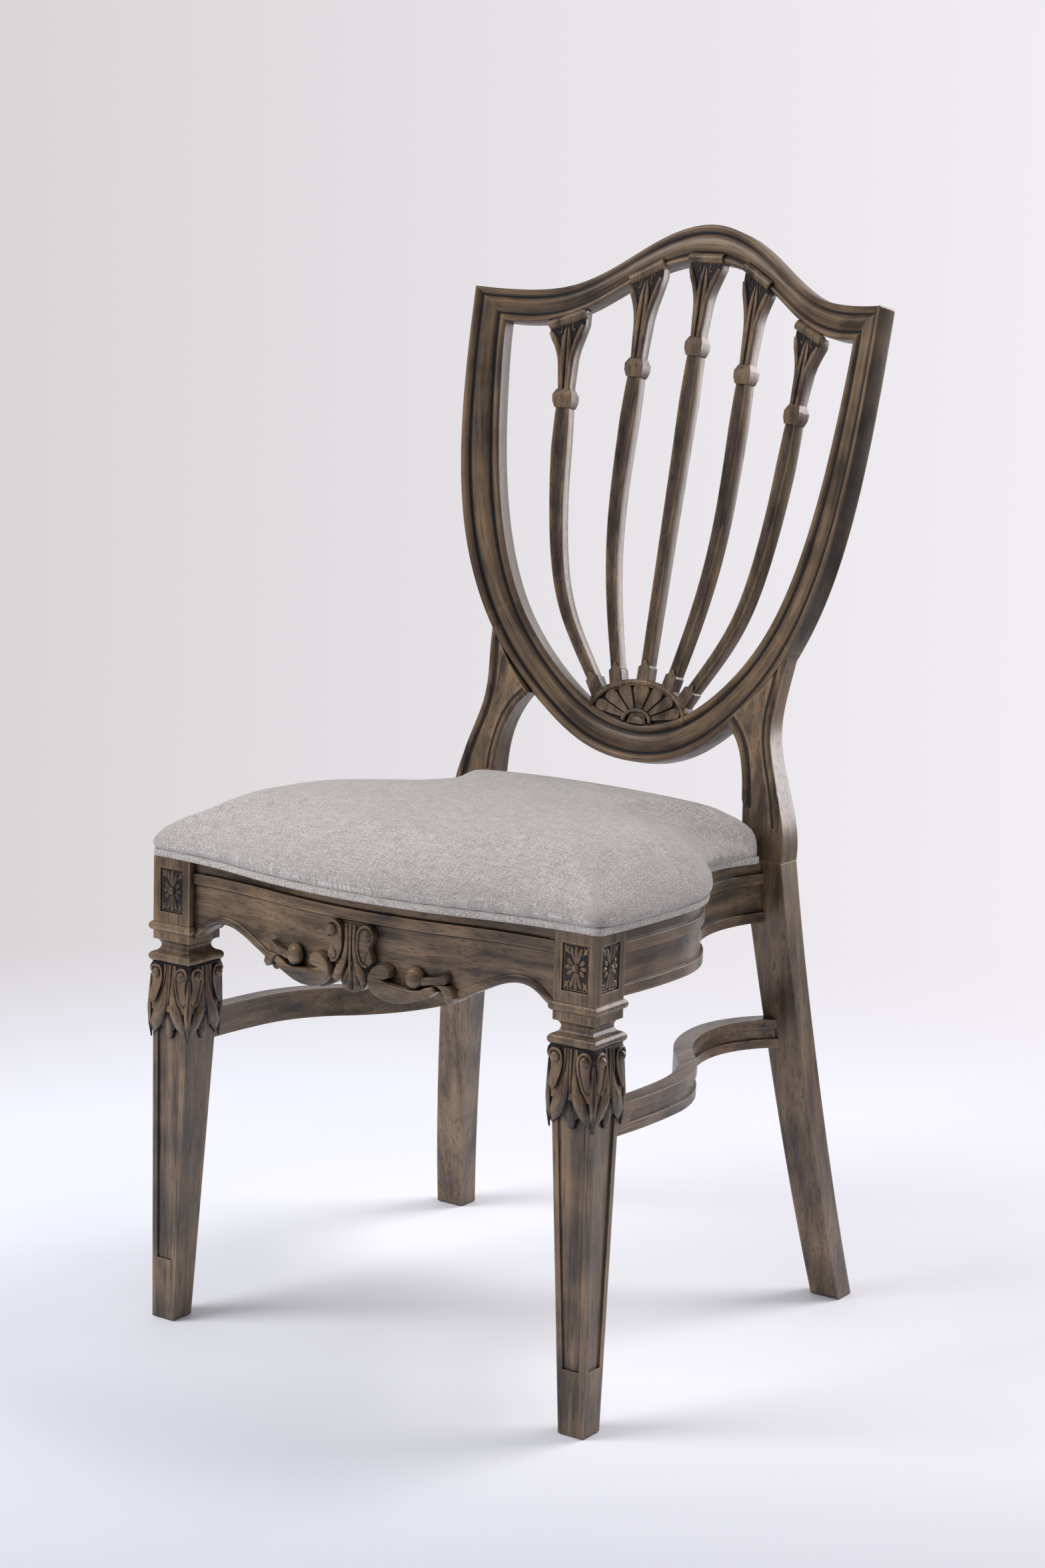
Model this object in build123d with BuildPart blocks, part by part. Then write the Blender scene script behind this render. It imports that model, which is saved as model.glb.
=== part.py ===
"""Shield-back dining chair: a carved, dowelled frame with an upholstered seat pad."""
import os
from math import cos, radians, sin, sqrt, tan

from build123d import *

os.makedirs("parts", exist_ok=True)

# All sizes are in millimetres. The chair faces -Y, +Z is up and X = 0 is its mirror plane.
# Pieces are made on the right-hand side and mirrored for the left.

# Seat frame: the seat plane slopes down to the back
SEAT_FRONT_Z = 432.7
SEAT_SLOPE = 1.2
RAIL_HEIGHT = 57.0
RAIL_THICKNESS = 22.0
RELIEF = 3.0
STRING_DROP = 11.0
STRING_HEIGHT = 9.5
BEAD_HEIGHT = 9.5

# Front legs
LEG_OUTER_X = 237.5
LEG_FRONT_Y = -254.5
BLOCK_WIDTH = 42.0
BLOCK_BOTTOM_Z = 373.5
RING_WIDTH = 48.0
RING_HEIGHT = 9.0
RING_ROUND = 4.3
STEP_HEIGHT = 7.5
COVE_WIDTH = 31.5
COVE_HEIGHT = 11.5
SHAFT_TOP_WIDTH = 43.0
COLLAR_WIDTH = 47.0
COLLAR_HEIGHT = 44.0
FOOT_WIDTH = 25.0
FOOT_HEIGHT = 58.0
FOOT_SETBACK = 3.0
PANEL_MARGIN = 5.5
PANEL_DEPTH = 2.0
ROSETTE_WIDTH = 26.0
ROSETTE_HEIGHT = 40.0

# Rear legs and back posts as seen from the front
REAR_FOOT_OUTER_X = 235.5
REAR_FOOT_WIDTH = 30.0
REAR_SEAT_OUTER_X = 186.0
REAR_SEAT_WIDTH = 40.0
SEAM_Z = 425.0
POST_OUTER = [(175.5, 490.0), (160.5, 543.0), (160.8, 569.0), (163.5, 593.0), (166.0, 650.0)]
POST_INNER = [(96.0, 563.0), (122.6, 537.0), (134.0, 514.0), (141.5, 466.0)]
# The same pieces as seen from the side: front edge, back edge and height
REAR_PROFILE = [(190.0, 214.0, 0.0), (166.5, 191.5, 115.0), (148.5, 174.5, 233.0), (134.0, 161.5, 360.0),
                (130.0, 158.0, 430.0), (134.5, 158.5, 490.0), (144.5, 166.0, 545.0), (170.0, 190.0, 650.0)]

# Shield back: a leaning plane, dished in plan
BACK_LEAN = 12.5
BACK_Y = 207.2
BACK_Z = 713.2
DISH_RADIUS = 470.0
DISH_BEHIND = 50.0
DISH_AHEAD = 100.0
SHIELD_THICKNESS = 20.0
SHIELD_HALF_WIDTH = 224.0
SHIELD_CORNER = 213.7
SHIELD_APEX = 293.7
SHIELD_BOTTOM = -224.2
FRAME_SIDE_WIDTH = 31.5
FRAME_CORNER_HEIGHT = 30.2
FRAME_APEX_HEIGHT = 35.7
FRAME_BOTTOM_HEIGHT = 36.0
# Shape of the outlines: shares of the half width, and of the rise from bottom to corner or corner to apex
OUTER_SIDE = [(0.228, 0.021), (0.438, 0.087), (0.679, 0.215), (0.867, 0.404), (0.946, 0.577), (0.989, 0.816)]
INNER_SIDE = [(0.262, 0.035), (0.467, 0.111), (0.698, 0.254), (0.860, 0.457), (0.939, 0.655), (0.982, 0.852)]
OUTER_CREST = [(0.826, 0.022), (0.607, 0.141), (0.388, 0.501), (0.161, 0.899)]
INNER_CREST = [(0.808, 0.054), (0.616, 0.268), (0.341, 0.752)]
STILE_FOOT_RISE = 23.5
STILE_FOOT_ANGLE = 37.0

# Balusters: the centre line of each from cap to cuff, in the plane of the back
OUTER_BALUSTER = [(135.0, 194.0), (128.0, 115.0), (125.0, 68.0), (116.0, -9.0), (95.0, -86.0), (45.0, -167.0)]
INNER_BALUSTER = [(62.0, 247.0), (60.5, 151.7), (60.5, 64.0), (57.0, -12.0), (44.0, -90.0), (27.0, -158.0)]
CENTRE_BALUSTER = [(0.0, 263.0), (0.0, 176.4), (0.0, 85.0), (0.0, 10.0), (0.0, -80.0), (0.0, -153.0)]
SHAFT_NECK = 9.5
SHAFT_SWELL = 13.0
SHAFT_MIDDLE = 12.5
SHAFT_LOWER = 11.0
SHAFT_END = 9.0
SHAFT_THICKNESS = 13.0
CAP_WIDTH = 37.0
CAPITAL_WAIST = 12.0
CAPITAL_NECK = 10.5
CAPITAL_WAIST_RISE = 0.45
CAPITAL_FLARE_RISE = 0.75
CAPITAL_THICKNESS = 15.0
KNOP_WIDTH = 19.0
KNOP_HEIGHT = 21.0
KNOP_CHAMFER = 5.0
KNOP_THICKNESS = 16.0
CUFF_WIDTH = 13.5
CUFF_HEIGHT = 26.0
CUFF_THICKNESS = 14.0
FAN_CENTRE = -186.0
FAN_WIDTH = 120.0
FAN_RISE = 40.5
FAN_THICKNESS = 14.0
FAN_RIM = 6.0
FAN_DISH = 3.0
BUTTON_RADIUS = 10.0

# Plan of the seat, right half: a soft bulge behind the leg, then an S inwards to the rear leg
SIDE_SETBACK = 2.5
SIDE_BULGE = 2.5
SIDE_STRAIGHT_END_Y = -113.5
SIDE_TURN = (197.0, -24.5)
SIDE_WAIST = (160.0, 60.5)
RAIL_REAR_LAP = 24.0
JOINT_LAP = 6.0

# Front apron: a serpentine face and a scalloped lower edge
APRON_CENTRE_Y = -270.0
APRON_TURN = (100.0, -259.5)
APRON_SETBACK = 4.0
APRON_THICKNESS = 22.0
APRON_ARCH = [(187.0, 367.5), (176.0, 375.5), (164.0, 379.5), (152.0, 379.5), (140.0, 376.0), (121.5, 367.5),
              (99.0, 357.0)]
APRON_END_Z = 361.0
APRON_CURL = [(93.0, 352.5), (86.0, 356.5)]
APRON_NOTCH = (84.0, 363.0)
APRON_SCROLL = [(62.0, 354.0), (43.0, 348.0), (27.0, 351.0)]
APRON_LEAF_NOTCH = (14.0, 360.0)
APRON_LEAF_Z = 350.0

# Rear rail and stretchers
REAR_RAIL_FRONT_Y = 106.0
REAR_RAIL_THICKNESS = 38.0
STRETCHER_BOTTOM_Z = 256.0
STRETCHER_HEIGHT = 27.0
STRETCHER_THICKNESS = 17.0
STRETCHER_WAIST = (157.0, 66.0)
STRETCHER_REAR_X = 186.0
STRETCHER_REAR_Y = 146.0
FLUTE_HEIGHT = 10.0
FLUTE_DEPTH = 2.5
FLUTE_FRONT_Y = -196.0

# Seat pad: heights above the seat plane and insets from the outline
PAD_FRONT_Y = -287.5
PAD_FRONT_TURN = (125.0, -270.5)
PAD_CORNER_Y = -256.5
PAD_CENTRE_Y = -85.0
PAD_REAR_GAP = 7.0
PAD_CORNER_RADIUS = 8.0
PAD_SIDE_OVERHANG = 2.5
PAD_REAR_OVERHANG = 4.0
WELT_HEIGHT = 7.0
PAD_ROWS = [(7.0, 3.5), (15.0, 0.0), (27.0, 0.5), (38.0, 5.0), (46.0, 14.0), (52.0, 30.0), (57.0, 60.0),
            (61.0, 110.0), (63.0, 165.0)]
COVER_EDGE = 4.0
COVER_THICKNESS = 1.6
BOARD_INSET = 9.0
BOARD_THICKNESS = 12.0
DUST_COVER_INSET = 47.0
DUST_COVER_THICKNESS = 1.0
SOFT_GAP = 0.3

# Hidden fixings
CORNER_BLOCK_REACH = 78.0
CORNER_BLOCK_THICKNESS = 32.0
CORNER_BLOCK_LAP = 5.0
SCREW_RADIUS = 2.0
SCREW_HEAD_RADIUS = 4.0
SCREW_HEAD_HEIGHT = 3.0
BLOCK_SCREW_LENGTH = 26.0
BLOCK_SCREW_INSET = 52.0
BLOCK_SCREW_SEAT = 19.0
SEAT_SCREW_LENGTH = 42.0
SEAT_SCREW_INSET = 33.0
SCREW_CLEARANCE = 0.15
DOWEL_RADIUS = 4.0
DOWEL_LENGTH = 36.0
DOWEL_SPACING = 26.0
DOWEL_CLEARANCE = 0.15
SHIELD_DOWEL_RADIUS = 3.0
SHIELD_DOWEL_LENGTH = 24.0
POST_DOWEL_INSET = 14.0
GLIDE_RADIUS = 8.0
GLIDE_THICKNESS = 3.0
GLIDE_PROUD = 1.0
GLIDE_CLEARANCE = 0.3
# Longer than any piece, for cuts that go right through
THROUGH = 400.0
STANDING = (Align.CENTER, Align.CENTER, Align.MIN)
HANGING = (Align.CENTER, Align.CENTER, Align.MAX)

slope = radians(SEAT_SLOPE)
lean = radians(BACK_LEAN)
seat_origin_z = SEAT_FRONT_Z + tan(slope) * LEG_FRONT_Y
back_up = (0, sin(lean), cos(lean))
SEAT = Plane(origin=(0, 0, seat_origin_z), x_dir=(1, 0, 0), z_dir=(0, sin(slope), cos(slope)))
BACK = Plane(origin=(0, BACK_Y, BACK_Z), x_dir=(1, 0, 0), z_dir=(0, -cos(lean), sin(lean)))
DISH = Plane(origin=BACK.from_local_coords((0, 0, DISH_RADIUS)), x_dir=(1, 0, 0), z_dir=back_up)
PAD = Plane(origin=SEAT.from_local_coords((0, PAD_CENTRE_Y, 0)), x_dir=(1, 0, 0), z_dir=SEAT.z_dir)


def save(part, name):
    """Label a finished piece and write it out."""
    part.label = name
    export_step(part, f"parts/{name}.step")


def mirrored(part):
    """The left-hand twin of a right-hand piece."""
    with BuildPart() as twin:
        mirror(part, about=Plane.YZ)
    return twin.part


def both_sides(part):
    """A right-hand group together with its left-hand twin, in one node."""
    with BuildPart() as pair:
        add(part)
        mirror(about=Plane.YZ)
    return pair.part


def cut(part, *tools):
    """A piece with the space of other pieces taken out of it."""
    with BuildPart() as rest:
        add(part)
        for tool in tools:
            add(tool, mode=Mode.SUBTRACT)
    return rest.part


def main_solid(part):
    """The largest solid of a piece, without the offcuts that a joint leaves beside it."""
    with BuildPart() as kept:
        add(part.solids().sort_by(SortBy.VOLUME)[-1])
    return kept.part


def pins(planes, radius, length):
    """Plain pins centred on the given planes."""
    with BuildPart() as group:
        with Locations(*planes):
            Cylinder(radius, length)
    return group.part


def screws(planes, length, clearance, head_height):
    """Flat-headed screws, each with the underside of its head on its plane and its shank along +Z."""
    with BuildPart() as group:
        with Locations(*planes):
            Cylinder(SCREW_RADIUS + clearance, length + clearance, align=STANDING)
            Cylinder(SCREW_HEAD_RADIUS + clearance, head_height, align=HANGING)
    return group.part


# Front legs
block_x = LEG_OUTER_X - BLOCK_WIDTH / 2
block_y = LEG_FRONT_Y + BLOCK_WIDTH / 2
block_back_y = LEG_FRONT_Y + BLOCK_WIDTH
step_z = BLOCK_BOTTOM_Z - RING_HEIGHT - STEP_HEIGHT
cove_z = step_z - COVE_HEIGHT
neck_z = cove_z - RING_HEIGHT
collar_z = neck_z - COLLAR_HEIGHT


def shaft_width(z):
    """Width of the tapered shaft at a height."""
    return FOOT_WIDTH + (SHAFT_TOP_WIDTH - FOOT_WIDTH) * z / neck_z


def shaft_front_y(z):
    """Front face of the shaft at a height."""
    return LEG_FRONT_Y + FOOT_SETBACK * (1 - z / neck_z)


def shaft_axis(z):
    """Middle of the shaft at a height, seen from above."""
    return (LEG_OUTER_X - shaft_width(z) / 2, shaft_front_y(z) + shaft_width(z) / 2)


def square_bar(width, z, height):
    """A plain square length of the leg above its shaft."""
    with BuildPart() as bar:
        with BuildSketch(Plane.XY.offset(z)):
            with Locations((block_x, block_y)):
                Rectangle(width, width)
        extrude(amount=height)
    return bar.part


def square_ring(z):
    """A square moulding with a full round on its rim."""
    bar = square_bar(RING_WIDTH, z, RING_HEIGHT)
    with BuildPart() as ring:
        add(bar)
        fillet(ring.edges().filter_by(Axis.Z, reverse=True), radius=RING_ROUND)
    return ring.part


def square_cove(z):
    """The hollow between the rings: a square bar with a round cut along each side."""
    bar = square_bar(BLOCK_WIDTH, z, COVE_HEIGHT)
    cut_radius = COVE_HEIGHT / 2
    with BuildPart() as cove:
        add(bar)
        with Locations((block_x, block_y, z + cut_radius)):
            with PolarLocations(COVE_WIDTH / 2 + cut_radius, 4):
                Cylinder(cut_radius, 2 * BLOCK_WIDTH, rotation=(90, 0, 0), mode=Mode.SUBTRACT)
    return cove.part


def shaft_length(low_z, low_width, high_z, high_width):
    """A tapered square length of the shaft between two heights."""
    with BuildPart() as length:
        with BuildSketch(Plane.XY.offset(low_z)):
            with Locations(shaft_axis(low_z)):
                Rectangle(low_width, low_width)
        with BuildSketch(Plane.XY.offset(high_z)):
            with Locations(shaft_axis(high_z)):
                Rectangle(high_width, high_width)
        loft()
    return length.part


leg_lengths = [
    square_bar(BLOCK_WIDTH, BLOCK_BOTTOM_Z, SEAT_FRONT_Z - BLOCK_BOTTOM_Z + BLOCK_WIDTH),
    square_ring(BLOCK_BOTTOM_Z - RING_HEIGHT),
    square_bar(BLOCK_WIDTH, step_z, STEP_HEIGHT),
    square_cove(cove_z),
    square_ring(neck_z),
    shaft_length(collar_z, COLLAR_WIDTH, neck_z, SHAFT_TOP_WIDTH),
    shaft_length(GLIDE_PROUD, shaft_width(GLIDE_PROUD), neck_z, SHAFT_TOP_WIDTH),
]
rosette_z = (BLOCK_BOTTOM_Z + SEAT_FRONT_Z) / 2
foot_centre = shaft_axis(GLIDE_PROUD)
FACE = Plane(origin=(LEG_OUTER_X, LEG_FRONT_Y, neck_z), x_dir=(1, 0, 0), z_dir=(0, -neck_z, -FOOT_SETBACK))
with BuildPart() as front_leg:
    add(leg_lengths)
    split(bisect_by=SEAT, keep=Keep.BOTTOM)
    # Sunk panels for the rosettes
    with BuildSketch(Plane.XZ.offset(-LEG_FRONT_Y)):
        with Locations((block_x, rosette_z)):
            Rectangle(ROSETTE_WIDTH, ROSETTE_HEIGHT)
    extrude(amount=-PANEL_DEPTH, mode=Mode.SUBTRACT)
    with BuildSketch(Plane.YZ.offset(LEG_OUTER_X)):
        with Locations((block_y, rosette_z)):
            Rectangle(ROSETTE_WIDTH, ROSETTE_HEIGHT)
    extrude(amount=-PANEL_DEPTH, mode=Mode.SUBTRACT)
    # Sunk tapered panels on the front and outer faces of the shaft
    with BuildSketch(FACE):
        with BuildLine():
            Polyline(
                (-PANEL_MARGIN, collar_z - neck_z),
                (-PANEL_MARGIN, FOOT_HEIGHT - neck_z),
                (PANEL_MARGIN - shaft_width(FOOT_HEIGHT), FOOT_HEIGHT - neck_z),
                (PANEL_MARGIN - shaft_width(collar_z), collar_z - neck_z),
                close=True,
            )
        make_face()
    extrude(amount=-PANEL_DEPTH, mode=Mode.SUBTRACT)
    with BuildSketch(Plane.YZ.offset(LEG_OUTER_X)):
        with BuildLine():
            Polyline(
                (shaft_front_y(collar_z) + PANEL_MARGIN, collar_z),
                (shaft_front_y(FOOT_HEIGHT) + PANEL_MARGIN, FOOT_HEIGHT),
                (shaft_front_y(FOOT_HEIGHT) + shaft_width(FOOT_HEIGHT) - PANEL_MARGIN, FOOT_HEIGHT),
                (shaft_front_y(collar_z) + shaft_width(collar_z) - PANEL_MARGIN, collar_z),
                close=True,
            )
        make_face()
    extrude(amount=-PANEL_DEPTH, mode=Mode.SUBTRACT)

# Rear legs and back posts: the front view and the side view of each cross to make the solid
rear_seat_inner_x = REAR_SEAT_OUTER_X - REAR_SEAT_WIDTH
rear_foot_inner_x = REAR_FOOT_OUTER_X - REAR_FOOT_WIDTH
rear_front_y = REAR_PROFILE[4][0]
rear_back_y = REAR_PROFILE[4][1]
with BuildSketch(Plane.YZ) as rear_side_view:
    with BuildLine():
        Spline([(front, z) for front, back, z in REAR_PROFILE])
        Line(REAR_PROFILE[-1][0::2], REAR_PROFILE[-1][1:])
        Spline([(back, z) for front, back, z in REAR_PROFILE])
        Line(REAR_PROFILE[0][0::2], REAR_PROFILE[0][1:])
    make_face()

with BuildPart() as rear_leg:
    with BuildSketch(Plane.XZ):
        with BuildLine():
            Polyline(
                (REAR_FOOT_OUTER_X, GLIDE_PROUD),
                (REAR_SEAT_OUTER_X, SEAM_Z),
                (rear_seat_inner_x, SEAM_Z),
                (rear_foot_inner_x, GLIDE_PROUD),
                close=True,
            )
        make_face()
    extrude(amount=-THROUGH)
    add(extrude(rear_side_view.sketch, amount=THROUGH, mode=Mode.PRIVATE), mode=Mode.INTERSECT)

with BuildPart() as post_blank:
    with BuildSketch(Plane.XZ):
        with BuildLine():
            Spline([(REAR_SEAT_OUTER_X, SEAM_Z)] + POST_OUTER)
            Line(POST_OUTER[-1], POST_INNER[0])
            Spline(POST_INNER + [(rear_seat_inner_x, SEAM_Z)])
            Line((rear_seat_inner_x, SEAM_Z), (REAR_SEAT_OUTER_X, SEAM_Z))
        make_face()
    extrude(amount=-THROUGH)
    add(extrude(rear_side_view.sketch, amount=THROUGH, mode=Mode.PRIVATE), mode=Mode.INTERSECT)


# Shield back
def shield_outline(half_width, bottom, corner, apex, side, crest):
    """A closed shield in the plane of the back, from its shape shares."""
    side_points = [(share_x * half_width, bottom + share_y * (corner - bottom)) for share_x, share_y in side]
    crest_points = [(share_x * half_width, corner + share_y * (apex - corner)) for share_x, share_y in crest]
    with BuildSketch() as shield:
        with BuildLine():
            Spline([(0, bottom)] + side_points + [(half_width, corner)], tangents=((1, 0), (0.02, 1)))
            Spline([(half_width, corner)] + crest_points + [(0, apex)], tangents=((-1, 0), (-1, 0)))
            mirror(about=Plane.YZ)
        make_face()
    return shield.sketch


def dished(face, setback, thickness):
    """A flat shape in the plane of the back, given the dish of the back and a thickness."""
    with BuildPart() as piece:
        with BuildSketch(BACK.offset(-DISH_BEHIND)):
            add(face)
        extrude(amount=DISH_BEHIND + DISH_AHEAD)
        with BuildSketch(DISH):
            Circle(DISH_RADIUS + setback + thickness)
        extrude(amount=THROUGH, both=True, mode=Mode.INTERSECT)
        with BuildSketch(DISH):
            Circle(DISH_RADIUS + setback)
        extrude(amount=THROUGH, both=True, mode=Mode.SUBTRACT)
    return piece.part


def dish_depth(x):
    """How far the dish brings the back forward at a distance from the middle."""
    return DISH_RADIUS - sqrt(DISH_RADIUS ** 2 - x ** 2)


inner_half_width = SHIELD_HALF_WIDTH - FRAME_SIDE_WIDTH
inner_corner = SHIELD_CORNER - FRAME_CORNER_HEIGHT
inner_bottom = SHIELD_BOTTOM + FRAME_BOTTOM_HEIGHT
inner_apex = SHIELD_APEX - FRAME_APEX_HEIGHT
shield = shield_outline(SHIELD_HALF_WIDTH, SHIELD_BOTTOM, SHIELD_CORNER, SHIELD_APEX, OUTER_SIDE, OUTER_CREST)
opening = shield_outline(inner_half_width, inner_bottom, inner_corner, inner_apex, INNER_SIDE, INNER_CREST)
mitre_far = (inner_half_width + 3 * FRAME_SIDE_WIDTH, inner_corner + 3 * FRAME_CORNER_HEIGHT)
foot_angle = radians(STILE_FOOT_ANGLE)
foot_far = (THROUGH * cos(foot_angle), STILE_FOOT_RISE - THROUGH * sin(foot_angle))


def frame_share(*corners):
    """The part of the flat shield frame that lies inside a polygon."""
    with BuildSketch() as share:
        add(shield)
        add(opening, mode=Mode.SUBTRACT)
        with BuildLine():
            Polyline(*corners, close=True)
        make_face(mode=Mode.INTERSECT)
    return share.sketch


crest_face = frame_share(
    (0, inner_corner),
    (inner_half_width, inner_corner),
    mitre_far,
    (0, mitre_far[1] + THROUGH),
    (-mitre_far[0], mitre_far[1]),
    (-inner_half_width, inner_corner),
)
stile_face = frame_share(
    (0, STILE_FOOT_RISE),
    foot_far,
    (2 * THROUGH, mitre_far[1]),
    mitre_far,
    (inner_half_width, inner_corner),
)
base_face = frame_share(
    (0, STILE_FOOT_RISE),
    foot_far,
    (0, -2 * THROUGH),
    (-foot_far[0], foot_far[1]),
)
crest_rail = dished(crest_face, 0, SHIELD_THICKNESS)
stile = dished(stile_face, 0, SHIELD_THICKNESS)
base_rail = dished(base_face, 0, SHIELD_THICKNESS)
with BuildPart() as shield_space:
    with BuildSketch(BACK.offset(-DISH_BEHIND)):
        add(shield)
    extrude(amount=DISH_BEHIND + DISH_AHEAD)
post = cut(post_blank.part, shield_space.part)


# Fan rosette: a raised rim, a sunk field and a half button
def half_ellipse(width, rise):
    """An ellipse round the fan's centre, kept inside the shield's opening."""
    with BuildSketch() as shape:
        with Locations((0, FAN_CENTRE)):
            Ellipse(width / 2, rise)
        add(opening, mode=Mode.INTERSECT)
    return shape.sketch


fan_face = half_ellipse(FAN_WIDTH, FAN_RISE)
fan_field = dished(half_ellipse(FAN_WIDTH - 2 * FAN_RIM, FAN_RISE - FAN_RIM), -FAN_DISH, 2 * FAN_DISH)
fan_button = dished(half_ellipse(2 * BUTTON_RADIUS, BUTTON_RADIUS), 0, FAN_THICKNESS)
fan_blank = dished(fan_face, 0, FAN_THICKNESS)
with BuildPart() as fan:
    add(fan_blank)
    add(fan_field, mode=Mode.SUBTRACT)
    add(fan_button)


# Balusters
def ribbon(points, widths):
    """A flat strip along a row of points, with its own width at each."""
    left = []
    right = []
    for index, width in enumerate(widths):
        before = Vector(points[max(index - 1, 0)])
        after = Vector(points[min(index + 1, len(points) - 1)])
        across = (after - before).normalized().rotate(Axis.Z, 90) * (width / 2)
        left.append(Vector(points[index]) + across)
        right.append(Vector(points[index]) - across)
    with BuildSketch() as strip:
        with BuildLine():
            Spline(left)
            Line(left[-1], right[-1])
            Spline(right)
            Line(right[0], left[0])
        make_face()
    return strip.sketch


def between(start, end, share):
    """The point a share of the way from start to end."""
    return (start[0] + (end[0] - start[0]) * share, start[1] + (end[1] - start[1]) * share)


def trimmed(face):
    """A flat baluster shape, kept inside the shield's opening and above the fan."""
    with BuildSketch() as rest:
        add(face)
        add(opening, mode=Mode.INTERSECT)
        add(fan_face, mode=Mode.SUBTRACT)
    return rest.sketch


def knop_face(line):
    """The chamfered knop under a capital, square to its baluster."""
    along = Vector(line[0]) - Vector(line[2])
    turn = along.get_signed_angle(Vector(0, 1), Vector(0, 0, -1))
    with BuildSketch() as knop:
        with Locations(Location((*line[1], 0), (0, 0, turn))):
            Rectangle(KNOP_WIDTH, KNOP_HEIGHT)
        chamfer(knop.vertices(), length=KNOP_CHAMFER)
    return knop.sketch


def baluster(line):
    """One baluster: flared capital, knop, swelling shaft and cuff."""
    cap, knop = line[0], line[1]
    capital_line = [knop, between(knop, cap, CAPITAL_WAIST_RISE), between(knop, cap, CAPITAL_FLARE_RISE), cap]
    capital_widths = [CAPITAL_NECK, CAPITAL_WAIST, (CAPITAL_WAIST + CAP_WIDTH) / 2, CAP_WIDTH]
    shaft_widths = [SHAFT_NECK, SHAFT_SWELL, SHAFT_MIDDLE, SHAFT_LOWER, SHAFT_END]
    cuff_top = between(line[-1], line[-2], CUFF_HEIGHT / (Vector(line[-2]) - Vector(line[-1])).length)
    cuff_line = [line[-1], between(line[-1], cuff_top, 0.5), cuff_top]
    lengths = [
        dished(trimmed(ribbon(capital_line, capital_widths)), 0, CAPITAL_THICKNESS),
        dished(knop_face(line), (SHAFT_THICKNESS - KNOP_THICKNESS) / 2, KNOP_THICKNESS),
        dished(trimmed(ribbon(line[1:], shaft_widths)), 0, SHAFT_THICKNESS),
        dished(trimmed(ribbon(cuff_line, [CUFF_WIDTH] * 3)), 0, CUFF_THICKNESS),
    ]
    with BuildPart() as spindle:
        add(lengths)
    return spindle.part


outer_baluster = baluster(OUTER_BALUSTER)
inner_baluster = baluster(INNER_BALUSTER)
centre_baluster = baluster(CENTRE_BALUSTER)


# Seat frame
def side_curve(front, turn, waist, rear):
    """The right edge of the seat in plan, from front to rear, as a run of tangent arcs."""
    straight_end = (front[0], SIDE_STRAIGHT_END_Y)
    bulge = (front[0] + SIDE_BULGE, (front[1] + SIDE_STRAIGHT_END_Y) / 2)
    with BuildLine() as curve:
        first = ThreePointArc(front, bulge, straight_end)
        second = TangentArc(first @ 1, turn, tangent=first % 1)
        third = TangentArc(second @ 1, waist, tangent=second % 1)
        TangentArc(third @ 1, rear, tangent=third % 1)
    return curve.line


def band(plane, curve, depth, height):
    """A strip that follows a plan curve, standing on a plane and reaching inwards to a depth."""
    with BuildPart() as strip:
        with BuildSketch(plane):
            with BuildLine():
                add(curve)
                offset(amount=depth, side=Side.LEFT)
            make_face()
        extrude(amount=height)
    return strip.part


side_x = LEG_OUTER_X - SIDE_SETBACK
rail_rear_x = rear_seat_inner_x + RAIL_REAR_LAP
rail_curve = side_curve(
    (side_x, block_back_y - JOINT_LAP), SIDE_TURN, SIDE_WAIST, (rail_rear_x, rear_front_y + JOINT_LAP)
)
panel_height = RAIL_HEIGHT - BEAD_HEIGHT - STRING_HEIGHT - STRING_DROP
side_rail_blank = cut(
    band(SEAT.offset(-RAIL_HEIGHT), rail_curve, RAIL_THICKNESS, RAIL_HEIGHT),
    band(SEAT.offset(-STRING_DROP), rail_curve, RELIEF, STRING_DROP),
    band(SEAT.offset(BEAD_HEIGHT - RAIL_HEIGHT), rail_curve, RELIEF, panel_height),
)
side_rail = main_solid(cut(side_rail_blank, front_leg.part, rear_leg.part))

# Front apron
apron_half_x = LEG_OUTER_X - BLOCK_WIDTH
apron_end_y = LEG_FRONT_Y + APRON_SETBACK
with BuildLine() as apron_curve:
    apron_swell = TangentArc((0, APRON_CENTRE_Y), APRON_TURN, tangent=(1, 0))
    TangentArc(apron_swell @ 1, (apron_half_x, apron_end_y), tangent=apron_swell % 1)
string_top_z = SEAT_FRONT_Z - STRING_DROP
string_bottom_z = string_top_z - STRING_HEIGHT
apron_low_z = min(APRON_LEAF_Z, APRON_SCROLL[1][1]) - RELIEF
apron_band = band(Plane.XY.offset(apron_low_z), apron_curve.line, APRON_THICKNESS, THROUGH)
apron_strip = band(Plane.XY.offset(string_top_z), apron_curve.line, RELIEF, THROUGH)
apron_field = band(Plane.XY.offset(apron_low_z), apron_curve.line, RELIEF, string_bottom_z - apron_low_z)
with BuildPart() as apron_half:
    add(apron_band)
    add([apron_strip, apron_field], mode=Mode.SUBTRACT)
    with BuildSketch(Plane.XZ):
        with BuildLine():
            Line((0, SEAT_FRONT_Z + RELIEF), (apron_half_x, SEAT_FRONT_Z + RELIEF))
            Line((apron_half_x, SEAT_FRONT_Z + RELIEF), (apron_half_x, APRON_END_Z))
            Spline([(apron_half_x, APRON_END_Z)] + APRON_ARCH)
            Spline(APRON_ARCH[-1:] + APRON_CURL + [APRON_NOTCH])
            Spline([APRON_NOTCH] + APRON_SCROLL + [APRON_LEAF_NOTCH])
            Spline([APRON_LEAF_NOTCH, (0, APRON_LEAF_Z)], tangents=((-0.4, -1), (-1, 0)))
            Line((0, APRON_LEAF_Z), (0, SEAT_FRONT_Z + RELIEF))
        make_face()
    extrude(amount=THROUGH, mode=Mode.INTERSECT)
    split(bisect_by=SEAT, keep=Keep.BOTTOM)
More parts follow.
